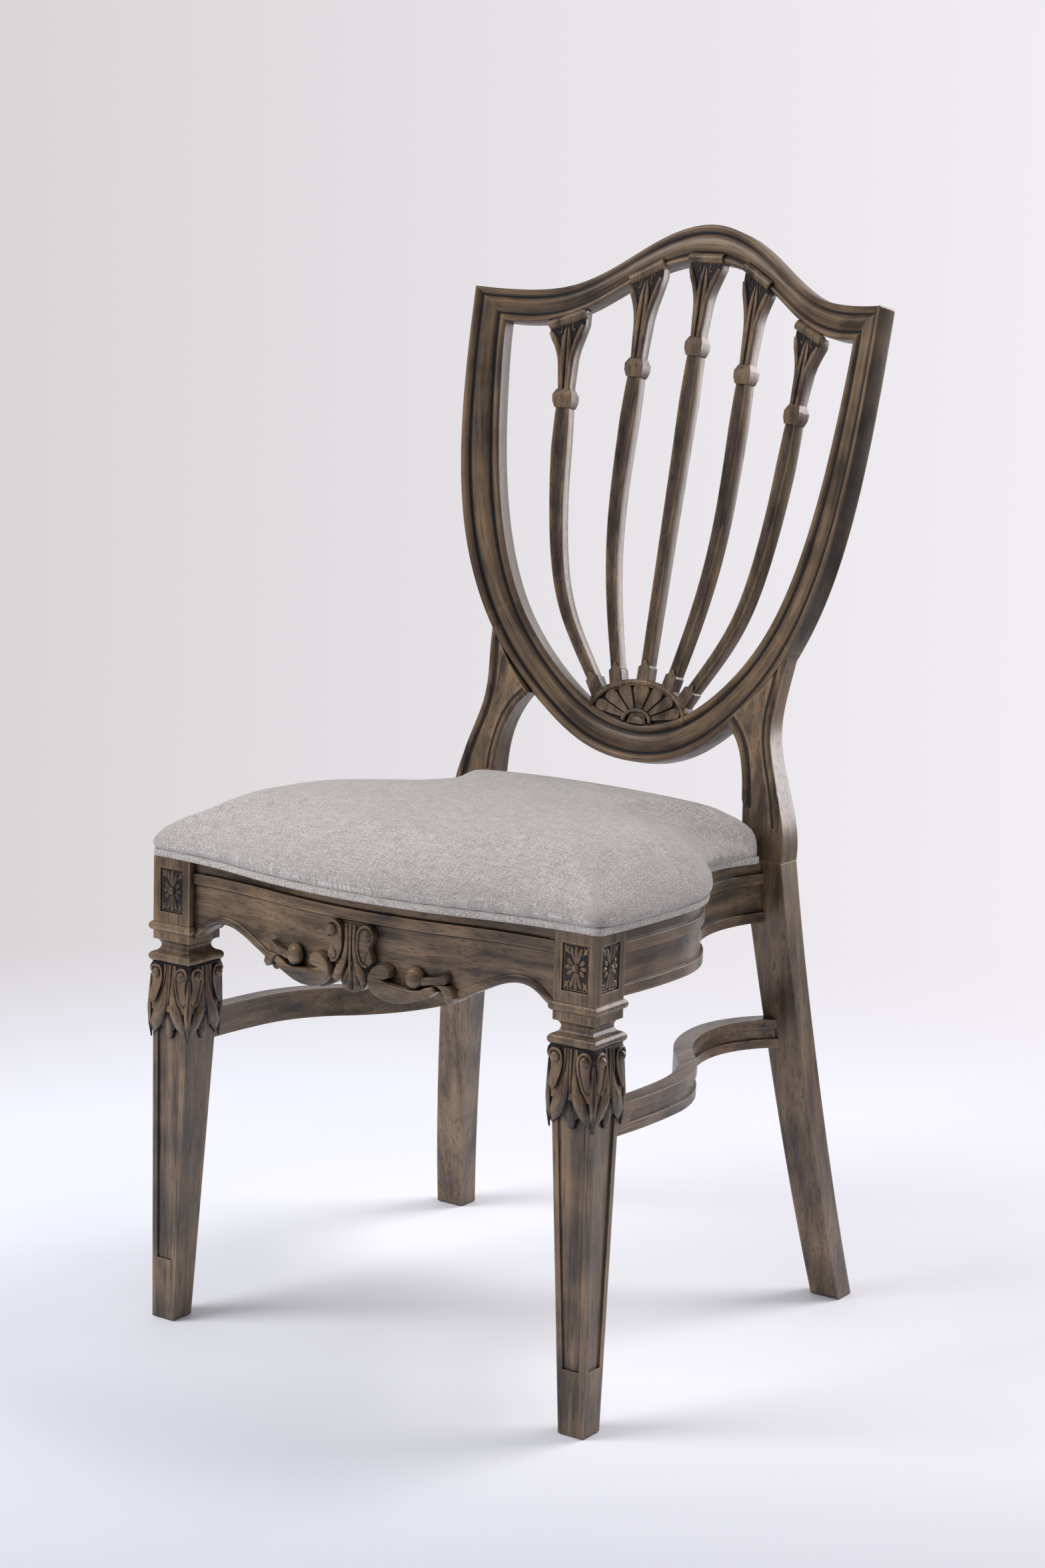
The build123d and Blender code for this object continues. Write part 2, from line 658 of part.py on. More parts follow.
apron_blank = both_sides(cut(apron_half.part, front_leg.part))

# Rear rail
with BuildPart() as rear_rail_bar:
    with BuildSketch(SEAT.offset(-RAIL_HEIGHT)):
        with Locations((0, REAR_RAIL_FRONT_Y + REAR_RAIL_THICKNESS / 2)):
            Rectangle(2 * rail_rear_x, REAR_RAIL_THICKNESS)
    extrude(amount=RAIL_HEIGHT)
rear_neighbours = [rear_leg.part, mirrored(rear_leg.part), side_rail_blank, mirrored(side_rail_blank)]
rear_rail_blank = main_solid(cut(rear_rail_bar.part, *rear_neighbours))

# Side stretchers, each with one long flute along its outer face
STRETCHER = SEAT.offset(STRETCHER_BOTTOM_Z - SEAT_FRONT_Z)
stretcher_curve = side_curve(
    (side_x, block_back_y - 2 * JOINT_LAP),
    SIDE_TURN,
    STRETCHER_WAIST,
    (STRETCHER_REAR_X, STRETCHER_REAR_Y + JOINT_LAP),
)
stretcher_bar = band(STRETCHER, stretcher_curve, STRETCHER_THICKNESS, STRETCHER_HEIGHT)
flute_bottom = STRETCHER.offset((STRETCHER_HEIGHT - FLUTE_HEIGHT) / 2)
flute_band = band(flute_bottom, stretcher_curve, FLUTE_DEPTH, FLUTE_HEIGHT)
with BuildPart() as flute:
    add(flute_band)
    split(bisect_by=Plane.XZ.offset(-FLUTE_FRONT_Y), keep=Keep.BOTTOM)
stretcher = main_solid(cut(stretcher_bar, flute.part, front_leg.part, rear_leg.part))

# Seat pad: one outline, drawn round the middle of the pad, and every layer of the pad an inset of it
pad_rear_y = rear_front_y - PAD_REAR_GAP - PAD_CENTRE_Y
pad_corner_y = PAD_CORNER_Y - PAD_CENTRE_Y
pad_side_x = LEG_OUTER_X + PAD_SIDE_OVERHANG
pad_rear_x = rail_rear_x + PAD_REAR_OVERHANG
pad_side = side_curve(
    (pad_side_x, PAD_CORNER_Y), SIDE_TURN, SIDE_WAIST, (pad_rear_x, rear_front_y - PAD_REAR_GAP)
)
with BuildSketch() as pad_face:
    with BuildLine():
        pad_swell = TangentArc(
            (0, PAD_FRONT_Y - PAD_CENTRE_Y),
            (PAD_FRONT_TURN[0], PAD_FRONT_TURN[1] - PAD_CENTRE_Y),
            tangent=(1, 0),
        )
        TangentArc(pad_swell @ 1, (pad_side_x, pad_corner_y), tangent=pad_swell % 1)
        add(Pos(0, -PAD_CENTRE_Y) * pad_side)
        Line((pad_rear_x, pad_rear_y), (0, pad_rear_y))
        mirror(about=Plane.YZ)
    make_face()
    front_corners = pad_face.vertices().filter_by_position(Axis.Y, pad_corner_y - 1, pad_corner_y + 1)
    rear_corners = pad_face.vertices().filter_by_position(Axis.Y, pad_rear_y - 1, pad_rear_y + 1)
    rear_corners = rear_corners.filter_by(lambda corner: abs(corner.X) > PAD_CORNER_RADIUS)
    fillet(front_corners + rear_corners, radius=PAD_CORNER_RADIUS)


def pad_layer(inset, bottom, height):
    """A flat layer of the pad."""
    with BuildPart() as layer:
        with BuildSketch(PAD.offset(bottom)):
            add(pad_face.sketch)
            scale(by=1 - inset / pad_side_x)
        extrude(amount=height)
    return layer.part


def pad_crown(extra_inset, drop):
    """The crowned body of the pad, drawn in at its sides."""
    with BuildPart() as crown:
        for height, inset in PAD_ROWS:
            with BuildSketch(PAD.offset(height - drop)):
                add(pad_face.sketch)
                scale(by=1 - (inset + extra_inset) / pad_side_x)
        loft(ruled=True)
    return crown.part


seat_board_blank = pad_layer(BOARD_INSET, 0, BOARD_THICKNESS)
seat_welt = cut(pad_layer(0, 0, WELT_HEIGHT), pad_layer(BOARD_INSET - SOFT_GAP, 0, WELT_HEIGHT))
seat_cover = cut(pad_crown(0, 0), pad_crown(COVER_EDGE, COVER_THICKNESS))
with BuildPart() as seat_foam:
    add(pad_crown(COVER_EDGE + SOFT_GAP, COVER_THICKNESS + SOFT_GAP))
    split(bisect_by=PAD.offset(BOARD_THICKNESS), keep=Keep.TOP)
dust_cover_top = -SOFT_GAP
dust_cover_blank = pad_layer(DUST_COVER_INSET, dust_cover_top - DUST_COVER_THICKNESS, DUST_COVER_THICKNESS)

# Corner blocks: each is a triangle in a corner of the seat frame, fitted round what is there
block_top = dust_cover_top - DUST_COVER_THICKNESS - SOFT_GAP
front_corner = (
    side_x - RAIL_THICKNESS + CORNER_BLOCK_LAP,
    apron_end_y + APRON_THICKNESS - CORNER_BLOCK_LAP,
)
rear_corner = (rear_seat_inner_x, REAR_RAIL_FRONT_Y + CORNER_BLOCK_LAP)


def corner_block(corner, rearwards):
    """A block square in a corner of the frame; rearwards is 1 at the front corner, -1 at the rear."""
    with BuildPart() as block:
        with BuildSketch(SEAT.offset(block_top)):
            with BuildLine():
                Polyline(
                    corner,
                    (corner[0] - CORNER_BLOCK_REACH, corner[1]),
                    (corner[0], corner[1] + rearwards * CORNER_BLOCK_REACH),
                    close=True,
                )
            make_face()
        extrude(amount=-CORNER_BLOCK_THICKNESS)
    return block.part


def block_screw_planes(corner, rearwards):
    """One screw into the front or rear rail and one into the side rail."""
    middle = block_top - CORNER_BLOCK_THICKNESS / 2
    cross_seat = (corner[0] - BLOCK_SCREW_INSET, corner[1] + rearwards * BLOCK_SCREW_SEAT, middle)
    side_seat = (corner[0] - BLOCK_SCREW_SEAT, corner[1] + rearwards * BLOCK_SCREW_INSET, middle)
    return [
        Plane(origin=SEAT.from_local_coords(cross_seat), x_dir=(1, 0, 0), z_dir=(0, -rearwards, 0)),
        Plane(origin=SEAT.from_local_coords(side_seat), x_dir=(0, 1, 0), z_dir=(1, 0, 0)),
    ]


def seat_screw_plane(corner, rearwards):
    """One screw up through the block into the seat board."""
    x = corner[0] - SEAT_SCREW_INSET
    y = corner[1] + rearwards * SEAT_SCREW_INSET
    origin = SEAT.from_local_coords((x, y, block_top - CORNER_BLOCK_THICKNESS))
    return Plane(origin=origin, x_dir=(1, 0, 0), z_dir=SEAT.z_dir)


block_planes = block_screw_planes(front_corner, 1) + block_screw_planes(rear_corner, -1)
seat_planes = [seat_screw_plane(front_corner, 1), seat_screw_plane(rear_corner, -1)]
block_screws = both_sides(screws(block_planes, BLOCK_SCREW_LENGTH, 0, SCREW_HEAD_HEIGHT))
seat_screws = both_sides(screws(seat_planes, SEAT_SCREW_LENGTH, 0, SCREW_HEAD_HEIGHT))
block_screw_holes = both_sides(screws(block_planes, BLOCK_SCREW_LENGTH, SCREW_CLEARANCE, CORNER_BLOCK_REACH))
seat_screw_holes = both_sides(screws(seat_planes, SEAT_SCREW_LENGTH, SCREW_CLEARANCE, SCREW_HEAD_HEIGHT))
front_block = cut(
    corner_block(front_corner, 1),
    front_leg.part,
    side_rail_blank,
    apron_blank,
    block_screw_holes,
    seat_screw_holes,
)
rear_block = cut(
    corner_block(rear_corner, -1),
    side_rail_blank,
    rear_rail_blank,
    block_screw_holes,
    seat_screw_holes,
)


# Dowels
def dowel_planes(x, y, z_dir, heights):
    """Planes for the dowels of one rail joint, at heights above the seat plane."""
    x_dir = (0, 1, 0) if z_dir[0] else (1, 0, 0)
    origins = [SEAT.from_local_coords((x, y, height)) for height in heights]
    return [Plane(origin=origin, x_dir=x_dir, z_dir=z_dir) for origin in origins]


def rear_end_planes(curve, inset, heights):
    """Planes for dowels along the rear end of a curved rail, where it meets the leg."""
    last = curve.edges().sort_by(Axis.Y)[-1]
    at = last.position_at(last.length - JOINT_LAP, position_mode=PositionMode.LENGTH)
    along = last.tangent_at(at)
    centre = at + along.rotate(Axis.Z, 90) * inset
    z_dir = SEAT.from_local_coords(centre + along) - SEAT.from_local_coords(centre)
    origins = [SEAT.from_local_coords((centre.X, centre.Y, height)) for height in heights]
    return [Plane(origin=origin, x_dir=z_dir.cross(SEAT.z_dir), z_dir=z_dir) for origin in origins]


rail_middle = -RAIL_HEIGHT / 2
pair_heights = (rail_middle - DOWEL_SPACING / 2, rail_middle + DOWEL_SPACING / 2)
rear_dowel_y = (rear_front_y + REAR_RAIL_FRONT_Y + REAR_RAIL_THICKNESS) / 2
rail_dowel_planes = (
    dowel_planes(side_x - RAIL_THICKNESS / 2, block_back_y, (0, 1, 0), pair_heights)
    + rear_end_planes(rail_curve, (RAIL_THICKNESS + RELIEF) / 2, pair_heights)
    + dowel_planes(apron_half_x, apron_end_y + APRON_THICKNESS / 2, (1, 0, 0), pair_heights)
    + dowel_planes(rear_seat_inner_x, rear_dowel_y, (1, 0, 0), [rail_middle])
)
stretcher_middle = STRETCHER_BOTTOM_Z - SEAT_FRONT_Z + STRETCHER_HEIGHT / 2
stretcher_front_y = shaft_front_y(STRETCHER_BOTTOM_Z) + shaft_width(STRETCHER_BOTTOM_Z)
stretcher_dowel_planes = dowel_planes(
    side_x - STRETCHER_THICKNESS / 2, stretcher_front_y, (0, 1, 0), [stretcher_middle]
) + rear_end_planes(stretcher_curve, STRETCHER_THICKNESS / 2, [stretcher_middle])
seam_middle = (REAR_SEAT_OUTER_X - POST_DOWEL_INSET, (rear_front_y + rear_back_y) / 2, SEAM_Z)
post_dowel_planes = [Plane(origin=seam_middle, x_dir=(1, 0, 0), z_dir=(0, 0, 1))]
mitre_joint = stile_face.edges().filter_by(GeomType.LINE).sort_by(Axis.Y)[-1]
foot_joint = stile_face.edges().filter_by(GeomType.LINE).sort_by(Axis.Y)[0]


def shield_dowel_plane(point, along):
    """A dowel in the middle of the shield's thickness, pointing along the plane of the back."""
    depth = dish_depth(point.X) - SHIELD_THICKNESS / 2
    origin = BACK.from_local_coords((point.X, point.Y, depth))
    tip = BACK.from_local_coords((point.X + along.X, point.Y + along.Y, depth))
    return Plane(origin=origin, x_dir=(tip - origin).cross(BACK.z_dir), z_dir=tip - origin)


def outline_point(share):
    """A point of the shield's outer edge."""
    height = SHIELD_CORNER - SHIELD_BOTTOM
    return (share[0] * SHIELD_HALF_WIDTH, SHIELD_BOTTOM + share[1] * height)


shield_dowel_planes = [
    shield_dowel_plane(mitre_joint @ 0.5, (mitre_joint % 0.5).rotate(Axis.Z, 90)),
    shield_dowel_plane(foot_joint @ 0.5, (foot_joint % 0.5).rotate(Axis.Z, 90)),
]
post_top = Vector(between(outline_point(OUTER_SIDE[1]), outline_point(OUTER_SIDE[2]), 0.75))
post_dowel_planes.append(shield_dowel_plane(post_top, Vector(0, 1)))


def dowel_holes(planes, radius, length):
    """The drilled holes for a group of dowels."""
    return pins(planes, radius + DOWEL_CLEARANCE, length + 2 * DOWEL_CLEARANCE)


rail_dowels = pins(rail_dowel_planes, DOWEL_RADIUS, DOWEL_LENGTH)
rail_holes = dowel_holes(rail_dowel_planes, DOWEL_RADIUS, DOWEL_LENGTH)
stretcher_dowels = pins(stretcher_dowel_planes, DOWEL_RADIUS, DOWEL_LENGTH)
stretcher_holes = dowel_holes(stretcher_dowel_planes, DOWEL_RADIUS, DOWEL_LENGTH)
post_dowels = pins(post_dowel_planes, SHIELD_DOWEL_RADIUS, SHIELD_DOWEL_LENGTH)
post_holes = dowel_holes(post_dowel_planes, SHIELD_DOWEL_RADIUS, SHIELD_DOWEL_LENGTH)
shield_dowels = pins(shield_dowel_planes, SHIELD_DOWEL_RADIUS, SHIELD_DOWEL_LENGTH)
shield_holes = dowel_holes(shield_dowel_planes, SHIELD_DOWEL_RADIUS, SHIELD_DOWEL_LENGTH)

# Foot glides, let into the end of each leg
rear_foot_y = (REAR_PROFILE[0][0] + REAR_PROFILE[0][1]) / 2
foot_places = [(*foot_centre, 0), (REAR_FOOT_OUTER_X - REAR_FOOT_WIDTH / 2, rear_foot_y, 0)]
with BuildPart() as glides:
    with Locations(*foot_places):
        Cylinder(GLIDE_RADIUS, GLIDE_THICKNESS, align=STANDING)
with BuildPart() as glide_pockets:
    with Locations(*foot_places):
        Cylinder(GLIDE_RADIUS + GLIDE_CLEARANCE, GLIDE_THICKNESS, align=STANDING)

# Drilled and finished pieces
pairs = {
    "front_leg": cut(front_leg.part, rail_holes, stretcher_holes, glide_pockets.part),
    "rear_leg": cut(rear_leg.part, rail_holes, stretcher_holes, post_holes, glide_pockets.part),
    "back_post": cut(post, post_holes),
    "shield_stile": cut(stile, shield_holes),
    "outer_baluster": outer_baluster,
    "inner_baluster": inner_baluster,
    "side_rail": cut(side_rail, rail_holes, block_screw_holes),
    "stretcher": cut(stretcher, stretcher_holes),
    "front_corner_block": front_block,
    "rear_corner_block": rear_block,
}
for name, piece in pairs.items():
    save(piece, f"{name}_right")
    save(mirrored(piece), f"{name}_left")

singles = {
    "crest_rail": cut(crest_rail, both_sides(shield_holes)),
    "shield_base_rail": cut(base_rail, both_sides(shield_holes), both_sides(post_holes)),
    "centre_baluster": centre_baluster,
    "fan_rosette": fan.part,
    "front_apron": cut(apron_blank, both_sides(rail_holes), block_screw_holes),
    "rear_rail": cut(rear_rail_blank, both_sides(rail_holes), block_screw_holes),
    "seat_board": cut(seat_board_blank, seat_screw_holes),
    "seat_foam": seat_foam.part,
    "seat_cover": seat_cover,
    "seat_welt": seat_welt,
    "dust_cover": cut(dust_cover_blank, seat_screw_holes),
    "rail_dowels": both_sides(rail_dowels),
    "stretcher_dowels": both_sides(stretcher_dowels),
    "post_dowels": both_sides(post_dowels),
    "shield_dowels": both_sides(shield_dowels),
    "block_screws": block_screws,
    "seat_screws": seat_screws,
    "foot_glides": both_sides(glides.part),
}
for name, piece in singles.items():
    save(piece, name)
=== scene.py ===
"""Dresses the dining chair: mouldings, balusters, carving, seat pad, finishes, light and camera."""
from math import cos, pi, radians, sin, sqrt

import bpy
import numpy as np
from mathutils import Matrix, Vector


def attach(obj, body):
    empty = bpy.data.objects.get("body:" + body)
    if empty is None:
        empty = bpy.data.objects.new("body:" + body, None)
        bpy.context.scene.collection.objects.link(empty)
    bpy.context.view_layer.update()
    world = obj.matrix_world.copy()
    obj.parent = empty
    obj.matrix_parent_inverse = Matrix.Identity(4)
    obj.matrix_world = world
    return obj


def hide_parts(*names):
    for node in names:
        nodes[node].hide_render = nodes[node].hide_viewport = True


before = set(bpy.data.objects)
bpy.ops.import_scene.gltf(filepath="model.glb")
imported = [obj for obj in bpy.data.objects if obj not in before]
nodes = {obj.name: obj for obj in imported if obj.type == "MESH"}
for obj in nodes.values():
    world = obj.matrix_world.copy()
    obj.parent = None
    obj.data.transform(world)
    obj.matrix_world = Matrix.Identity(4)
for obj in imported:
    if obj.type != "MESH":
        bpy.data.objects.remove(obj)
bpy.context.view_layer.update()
scene = bpy.context.scene


def unselect():
    bpy.ops.object.select_all(action="DESELECT")


unselect()

# Carving is drawn in the flat in millimetres, then laid on the surface that carries it.
MM = 0.001

# The shield back: a leaning plane, dished in plan
BACK_LEAN = radians(12.5)
BACK_Y = 207.2
BACK_Z = 713.2
DISH_RADIUS = 470.0
SHIELD_HALF_WIDTH = 224.0
SHIELD_CORNER = 213.7
SHIELD_APEX = 293.7
SHIELD_BOTTOM = -224.2
INNER_HALF_WIDTH = SHIELD_HALF_WIDTH - 31.5
INNER_CORNER = SHIELD_CORNER - 30.2
INNER_APEX = SHIELD_APEX - 35.7
INNER_BOTTOM = SHIELD_BOTTOM + 36.0
OUTER_SIDE = [(0.228, 0.021), (0.438, 0.087), (0.679, 0.215), (0.867, 0.404), (0.946, 0.577), (0.989, 0.816)]
INNER_SIDE = [(0.262, 0.035), (0.467, 0.111), (0.698, 0.254), (0.860, 0.457), (0.939, 0.655), (0.982, 0.852)]
OUTER_CREST = [(0.826, 0.022), (0.607, 0.141), (0.388, 0.501), (0.161, 0.899)]
INNER_CREST = [(0.808, 0.054), (0.616, 0.268), (0.341, 0.752)]
STILE_FOOT_RISE = 23.5
STILE_FOOT_ANGLE = radians(37)
FRAME_DEPTH = 20.0
# Half of the frame's section: from the outer bead over a groove to the middle of the raised band
FRAME_HALF = [(0.0, -1.5), (0.5, -0.3), (1.6, 0.6), (3.0, 0.8), (4.4, 0.4), (5.6, -0.8), (6.6, -2.1),
              (7.4, -2.5), (8.2, -2.2), (9.6, -1.1), (11.4, -0.3), (13.4, 0.1), (15.75, 0.2)]
# Heights in the frame's section where glaze and painted shade darken it: fully at the first, not at all at the
# second
FRAME_GLAZE_AND_SHADE = (-2.3, -0.9)
# The frame's runs are drawn on past the corners, then cut at the mitres and nipped at the tips
RUN_ON_OUTER = 44
RUN_ON_INNER = 60
TIP_NIP = 0.9
TIP_SLOPE = 0.96
SIDE_STEPS = 60
CREST_STEPS = 40
GRAIN_MAP_WIDTH = 0.08
HANDS = ((1, "right"), (-1, "left"))

# Balusters: the centre line of each from cap to cuff
OUTER_BALUSTER = [(135.0, 194.0), (128.0, 115.0), (125.0, 68.0), (116.0, -9.0), (95.0, -86.0), (45.0, -167.0)]
INNER_BALUSTER = [(62.0, 247.0), (60.5, 151.7), (60.5, 64.0), (57.0, -12.0), (44.0, -90.0), (27.0, -158.0)]
CENTRE_BALUSTER = [(0.0, 263.0), (0.0, 176.4), (0.0, 85.0), (0.0, 10.0), (0.0, -80.0), (0.0, -153.0)]
SHAFT_SHARES = [0.0, 0.06, 0.16, 0.30, 0.50, 0.75, 1.0]
SHAFT_WIDTHS = [11.6, 13.8, 15.4, 13.8, 12.2, 10.6, 9.2]
SHAFT_DEPTH = 13.0
CAP_WIDTH = 37.0
CAP_ROLL = 10.0
CAPITAL_HALF = [(5.6, 0.0), (6.0, 0.16), (6.7, 0.30), (7.9, 0.52), (9.6, 0.63), (12.0, 0.72), (15.0, 0.82),
                (17.8, 0.91), (18.5, 1.05)]
CAPITAL_DEPTH = 13.0
KNOP_SIZE = (19.0, 18.5, 17.5)
KNOP_NARROWING = (0.80, 0.98, 1.0, 0.72)
# A capital's leaves: steps across and shares of its height, the width at each and the lift
INNER_LEAF = [(2.1, 0.10), (2.4, 0.30), (2.7, 0.50), (2.9, 0.66), (2.3, 0.80), (1.0, 0.93)]
OUTER_LEAF = [(4.1, 0.10), (4.7, 0.30), (5.9, 0.52), (8.8, 0.68), (12.6, 0.80), (16.0, 0.90)]
EYELET = [(8.6, 0.94), (7.0, 0.99), (5.6, 0.93), (6.6, 0.86), (8.2, 0.88)]
CAPITAL_LEAVES = ((INNER_LEAF, [2.6, 3.6, 4.8, 5.2, 4.2, 1.2], 0.2),
                  (OUTER_LEAF, [2.6, 3.6, 4.4, 5.4, 6.0, 4.4], 0.2), (EYELET, 1.2, 0.6))
SHAFT_STEPS = 60
CUFF_GABLE = [(-0.5, 0.08), (0.5, 0.08), (0.5, 0.74), (0.26, 0.84), (0.1, 1.0), (-0.1, 1.0), (-0.26, 0.84),
              (-0.5, 0.74)]
CUFF_LIFT = 1.2
CUFF_WIDTH = 13.5
CUFF_HEIGHT = 26.0
CUFF_THICKNESS = 14.0
FAN_CENTRE = -186.0


class Shade:
    """One socket of a finish. Operators on it add Math nodes."""

    def __init__(self, finish, socket):
        self.finish = finish
        self.socket = socket

    def __add__(self, other):
        return self.finish.maths("ADD", self, other)

    def __sub__(self, other):
        return self.finish.maths("SUBTRACT", self, other)

    def __mul__(self, other):
        return self.finish.maths("MULTIPLY", self, other)

    def __truediv__(self, other):
        return self.finish.maths("DIVIDE", self, other)

    def __rsub__(self, other):
        return self.finish.maths("SUBTRACT", other, self)

    __radd__ = __add__
    __rmul__ = __mul__


class Finish:
    """A procedural material, built up from its nodes."""

    def __init__(self, name, kind=bpy.data.materials):
        self.material = kind.new(name)
        self.material.use_nodes = True
        self.tree = self.material.node_tree
        self.shader = self.tree.nodes.get("Principled BSDF")

    def node(self, kind, settings=None, inputs=None, output=0):
        made = self.tree.nodes.new(kind)
        for key, value in (settings or {}).items():
            setattr(made, key, value)
        for key, value in (inputs or {}).items():
            self.feed(made.inputs[key], value)
        return Shade(self, made.outputs[output])

    def feed(self, socket, value):
        if isinstance(value, Shade):
            self.tree.links.new(value.socket, socket)
        elif isinstance(value, tuple) and len(value) == 3 and socket.type == "RGBA":
            socket.default_value = (*value, 1)
        else:
            socket.default_value = value

    def maths(self, operation, *values):
        return self.node("ShaderNodeMath", {"operation": operation}, dict(enumerate(values)))

    def toward(self, where, direction):
        """How far a place or a ray lies along a direction."""
        inputs = {0: where, 1: direction}
        return self.node("ShaderNodeVectorMath", {"operation": "DOT_PRODUCT"}, inputs, "Value")

    def set(self, **values):
        for key, value in values.items():
            self.feed(self.shader.inputs[key.replace("_", " ")], value)

    def place(self, scale=(1, 1, 1), own_map=None):
        where = self.node("ShaderNodeTexCoord", output="Object")
        if own_map:
            where = self.node("ShaderNodeUVMap", {"uv_map": own_map})
        return self.node("ShaderNodeMapping", {}, {"Vector": where, "Scale": scale})

    def noise(self, where, scale, detail=2.0, roughness=0.5):
        return self.node("ShaderNodeTexNoise", {}, {
            "Vector": where, "Scale": scale, "Detail": detail, "Roughness": roughness})

    def ramp(self, value, low, high):
        return self.node("ShaderNodeMapRange", {}, {0: value, 1: low, 2: high})

    def mix(self, share, first, second):
        return self.node("ShaderNodeMix", {"data_type": "RGBA"}, {0: share, 6: first, 7: second}, output=2)

    def hollows(self, reach, inside=False):
        return self.node("ShaderNodeAmbientOcclusion", {"inside": inside, "samples": 8}, {
            "Distance": reach}, output="AO")

    def bump(self, height, strength, depth, eased=0.0):
        """Surface relief; sharp edges look eased by a small radius."""
        made = {"Height": height, "Strength": strength, "Distance": depth}
        if eased:
            made["Normal"] = self.node("ShaderNodeBevel", {"samples": 6}, {"Radius": eased})
        return self.node("ShaderNodeBump", {}, made)


STAIN_DARK = (0.044, 0.030, 0.021)
STAIN_LIGHT = (0.215, 0.138, 0.079)
WORN_TAN = (0.270, 0.170, 0.090)
# Near black: dark glaze in the open pores, and glaze with painted shade in the hollows
GLAZE_AND_SHADE_BLACK = (0.007, 0.008, 0.011)
# How far glaze and painted shade reach out of a hollow, how deep the grain is and how round a sharp edge looks,
# in metres
GLAZE_AND_SHADE_REACH = 0.006
GRAIN_DEPTH = 0.0006
EASED_EDGE = 0.0011
# Cloth: its thread and relief in metres, how far painted shade reaches into its hollows, and a twill of two
# threads over and two under
THREAD = 0.0012
WEAVE_DEPTH = 0.0007
CREASE_SHADE_REACH = 0.009
TWILL_REPEAT = 4.0
TWILL_OVER = 1.5


def stained_wood(name, drawn_out, edge=0.0026, wear=0.62, grain_map=None):
    """Brown stain on open grain, worn tan edges, and dark glaze with painted shade left in the hollows."""
    finish = Finish(name)
    along = finish.place(drawn_out, grain_map)
    streaks = finish.noise(along, 90, 4, 0.6)
    pores = finish.noise(along, 650, 3, 0.6)
    cloud = finish.noise(finish.place(), 22, 3, 0.55)
    stain = finish.mix(finish.ramp(streaks * 0.65 + cloud * 0.35, 0.38, 0.62), STAIN_DARK, STAIN_LIGHT)
    open_pores = finish.ramp(pores, 0.46, 0.34)
    stain = finish.mix(open_pores * 0.6, stain, GLAZE_AND_SHADE_BLACK)
    edges = finish.ramp(finish.hollows(edge, inside=True), 0.95, 0.55)
    worn = edges * finish.ramp(cloud * 0.6 + pores * 0.4, 0.36, 0.58)
    stain = finish.mix(worn * wear, stain, WORN_TAN)
    # Dark glaze and painted shade: drawn carving marks it by height, and occlusion finds hollows and places
    # close to other parts
    held = finish.node("ShaderNodeAttribute", {"attribute_name": "glaze"}, output="Fac")
    groove = finish.ramp(finish.hollows(GLAZE_AND_SHADE_REACH) + cloud * 0.2, 0.90, 0.48)
    dark = finish.maths("MAXIMUM", groove, held)
    stain = finish.mix(dark * 0.95, stain, GLAZE_AND_SHADE_BLACK)
    grain_height = pores * 0.7 + streaks * 0.3
    finish.set(Base_Color=stain, Roughness=0.34 + open_pores * 0.2 + dark * 0.2,
               Normal=finish.bump(grain_height, 0.3, GRAIN_DEPTH, EASED_EDGE))
    finish.set(Coat_Weight=0.25, Coat_Roughness=0.28)
    return finish.material


def bare_wood(name, drawn_out, pale, dark):
    """Unstained wood of the hidden pieces."""
    finish = Finish(name)
    along = finish.place(drawn_out)
    streaks = finish.noise(along, 120, 4, 0.6)
    pores = finish.noise(along, 700, 2, 0.5)
    colour = finish.mix(finish.ramp(streaks, 0.35, 0.65), dark, pale)
    finish.set(Base_Color=colour, Roughness=0.62 + pores * 0.15, Normal=finish.bump(pores, 0.15, 0.0004))
    return finish.material


def woven_cloth(name, pale, dark, thread):
    """Twill on the piece's own unrolled map, with heathered threads."""
    finish = Finish(name)
    where = finish.node("ShaderNodeUVMap", {"uv_map": "weave"})
    apart = finish.node("ShaderNodeSeparateXYZ", {}, {0: where})
    warp = Shade(finish, apart.socket.node.outputs[0]) / thread
    weft = Shade(finish, apart.socket.node.outputs[1]) / thread
    warp_row = finish.maths("FLOOR", warp)
    weft_row = finish.maths("FLOOR", weft)
    rib = finish.maths("FLOORED_MODULO", warp_row + weft_row, TWILL_REPEAT)
    over = finish.maths("LESS_THAN", rib, TWILL_OVER)
    warp_round = finish.maths("SINE", (warp - warp_row) * pi)
    weft_round = finish.maths("SINE", (weft - weft_row) * pi)
    height = over * warp_round + (1 - over) * weft_round
    warp_spot = finish.node("ShaderNodeCombineXYZ", {}, {0: warp_row, 1: weft * 0.12, 2: 0.0})
    weft_spot = finish.node("ShaderNodeCombineXYZ", {}, {0: warp * 0.12, 1: weft_row, 2: 7.0})
    heather = over * finish.noise(warp_spot, 0.83, 1) + (1 - over) * finish.noise(weft_spot, 0.83, 1)
    cloud = finish.noise(finish.place(), 26, 3)
    shade = finish.ramp(heather * 0.9 + cloud * 0.1, 0.34, 0.66)
    colour = finish.mix(shade, dark, pale)
    # Darker where the threads dip under each other: painted shade between the threads
    colour = finish.mix((1 - height) * 0.6, colour, tuple(value * 0.4 for value in dark))
    # Darker in hollows and where the pad meets the welt: painted shade
    crease_shade = finish.ramp(finish.hollows(CREASE_SHADE_REACH), 0.62, 0.25)
    colour = finish.mix(crease_shade * 0.8, colour, tuple(value * 0.2 for value in dark))
    finish.set(Base_Color=colour, Roughness=0.92 - heather * 0.08,
               Normal=finish.bump(height, 0.5, WEAVE_DEPTH))
    finish.set(Sheen_Weight=0.18, Sheen_Roughness=0.5)
    return finish.material


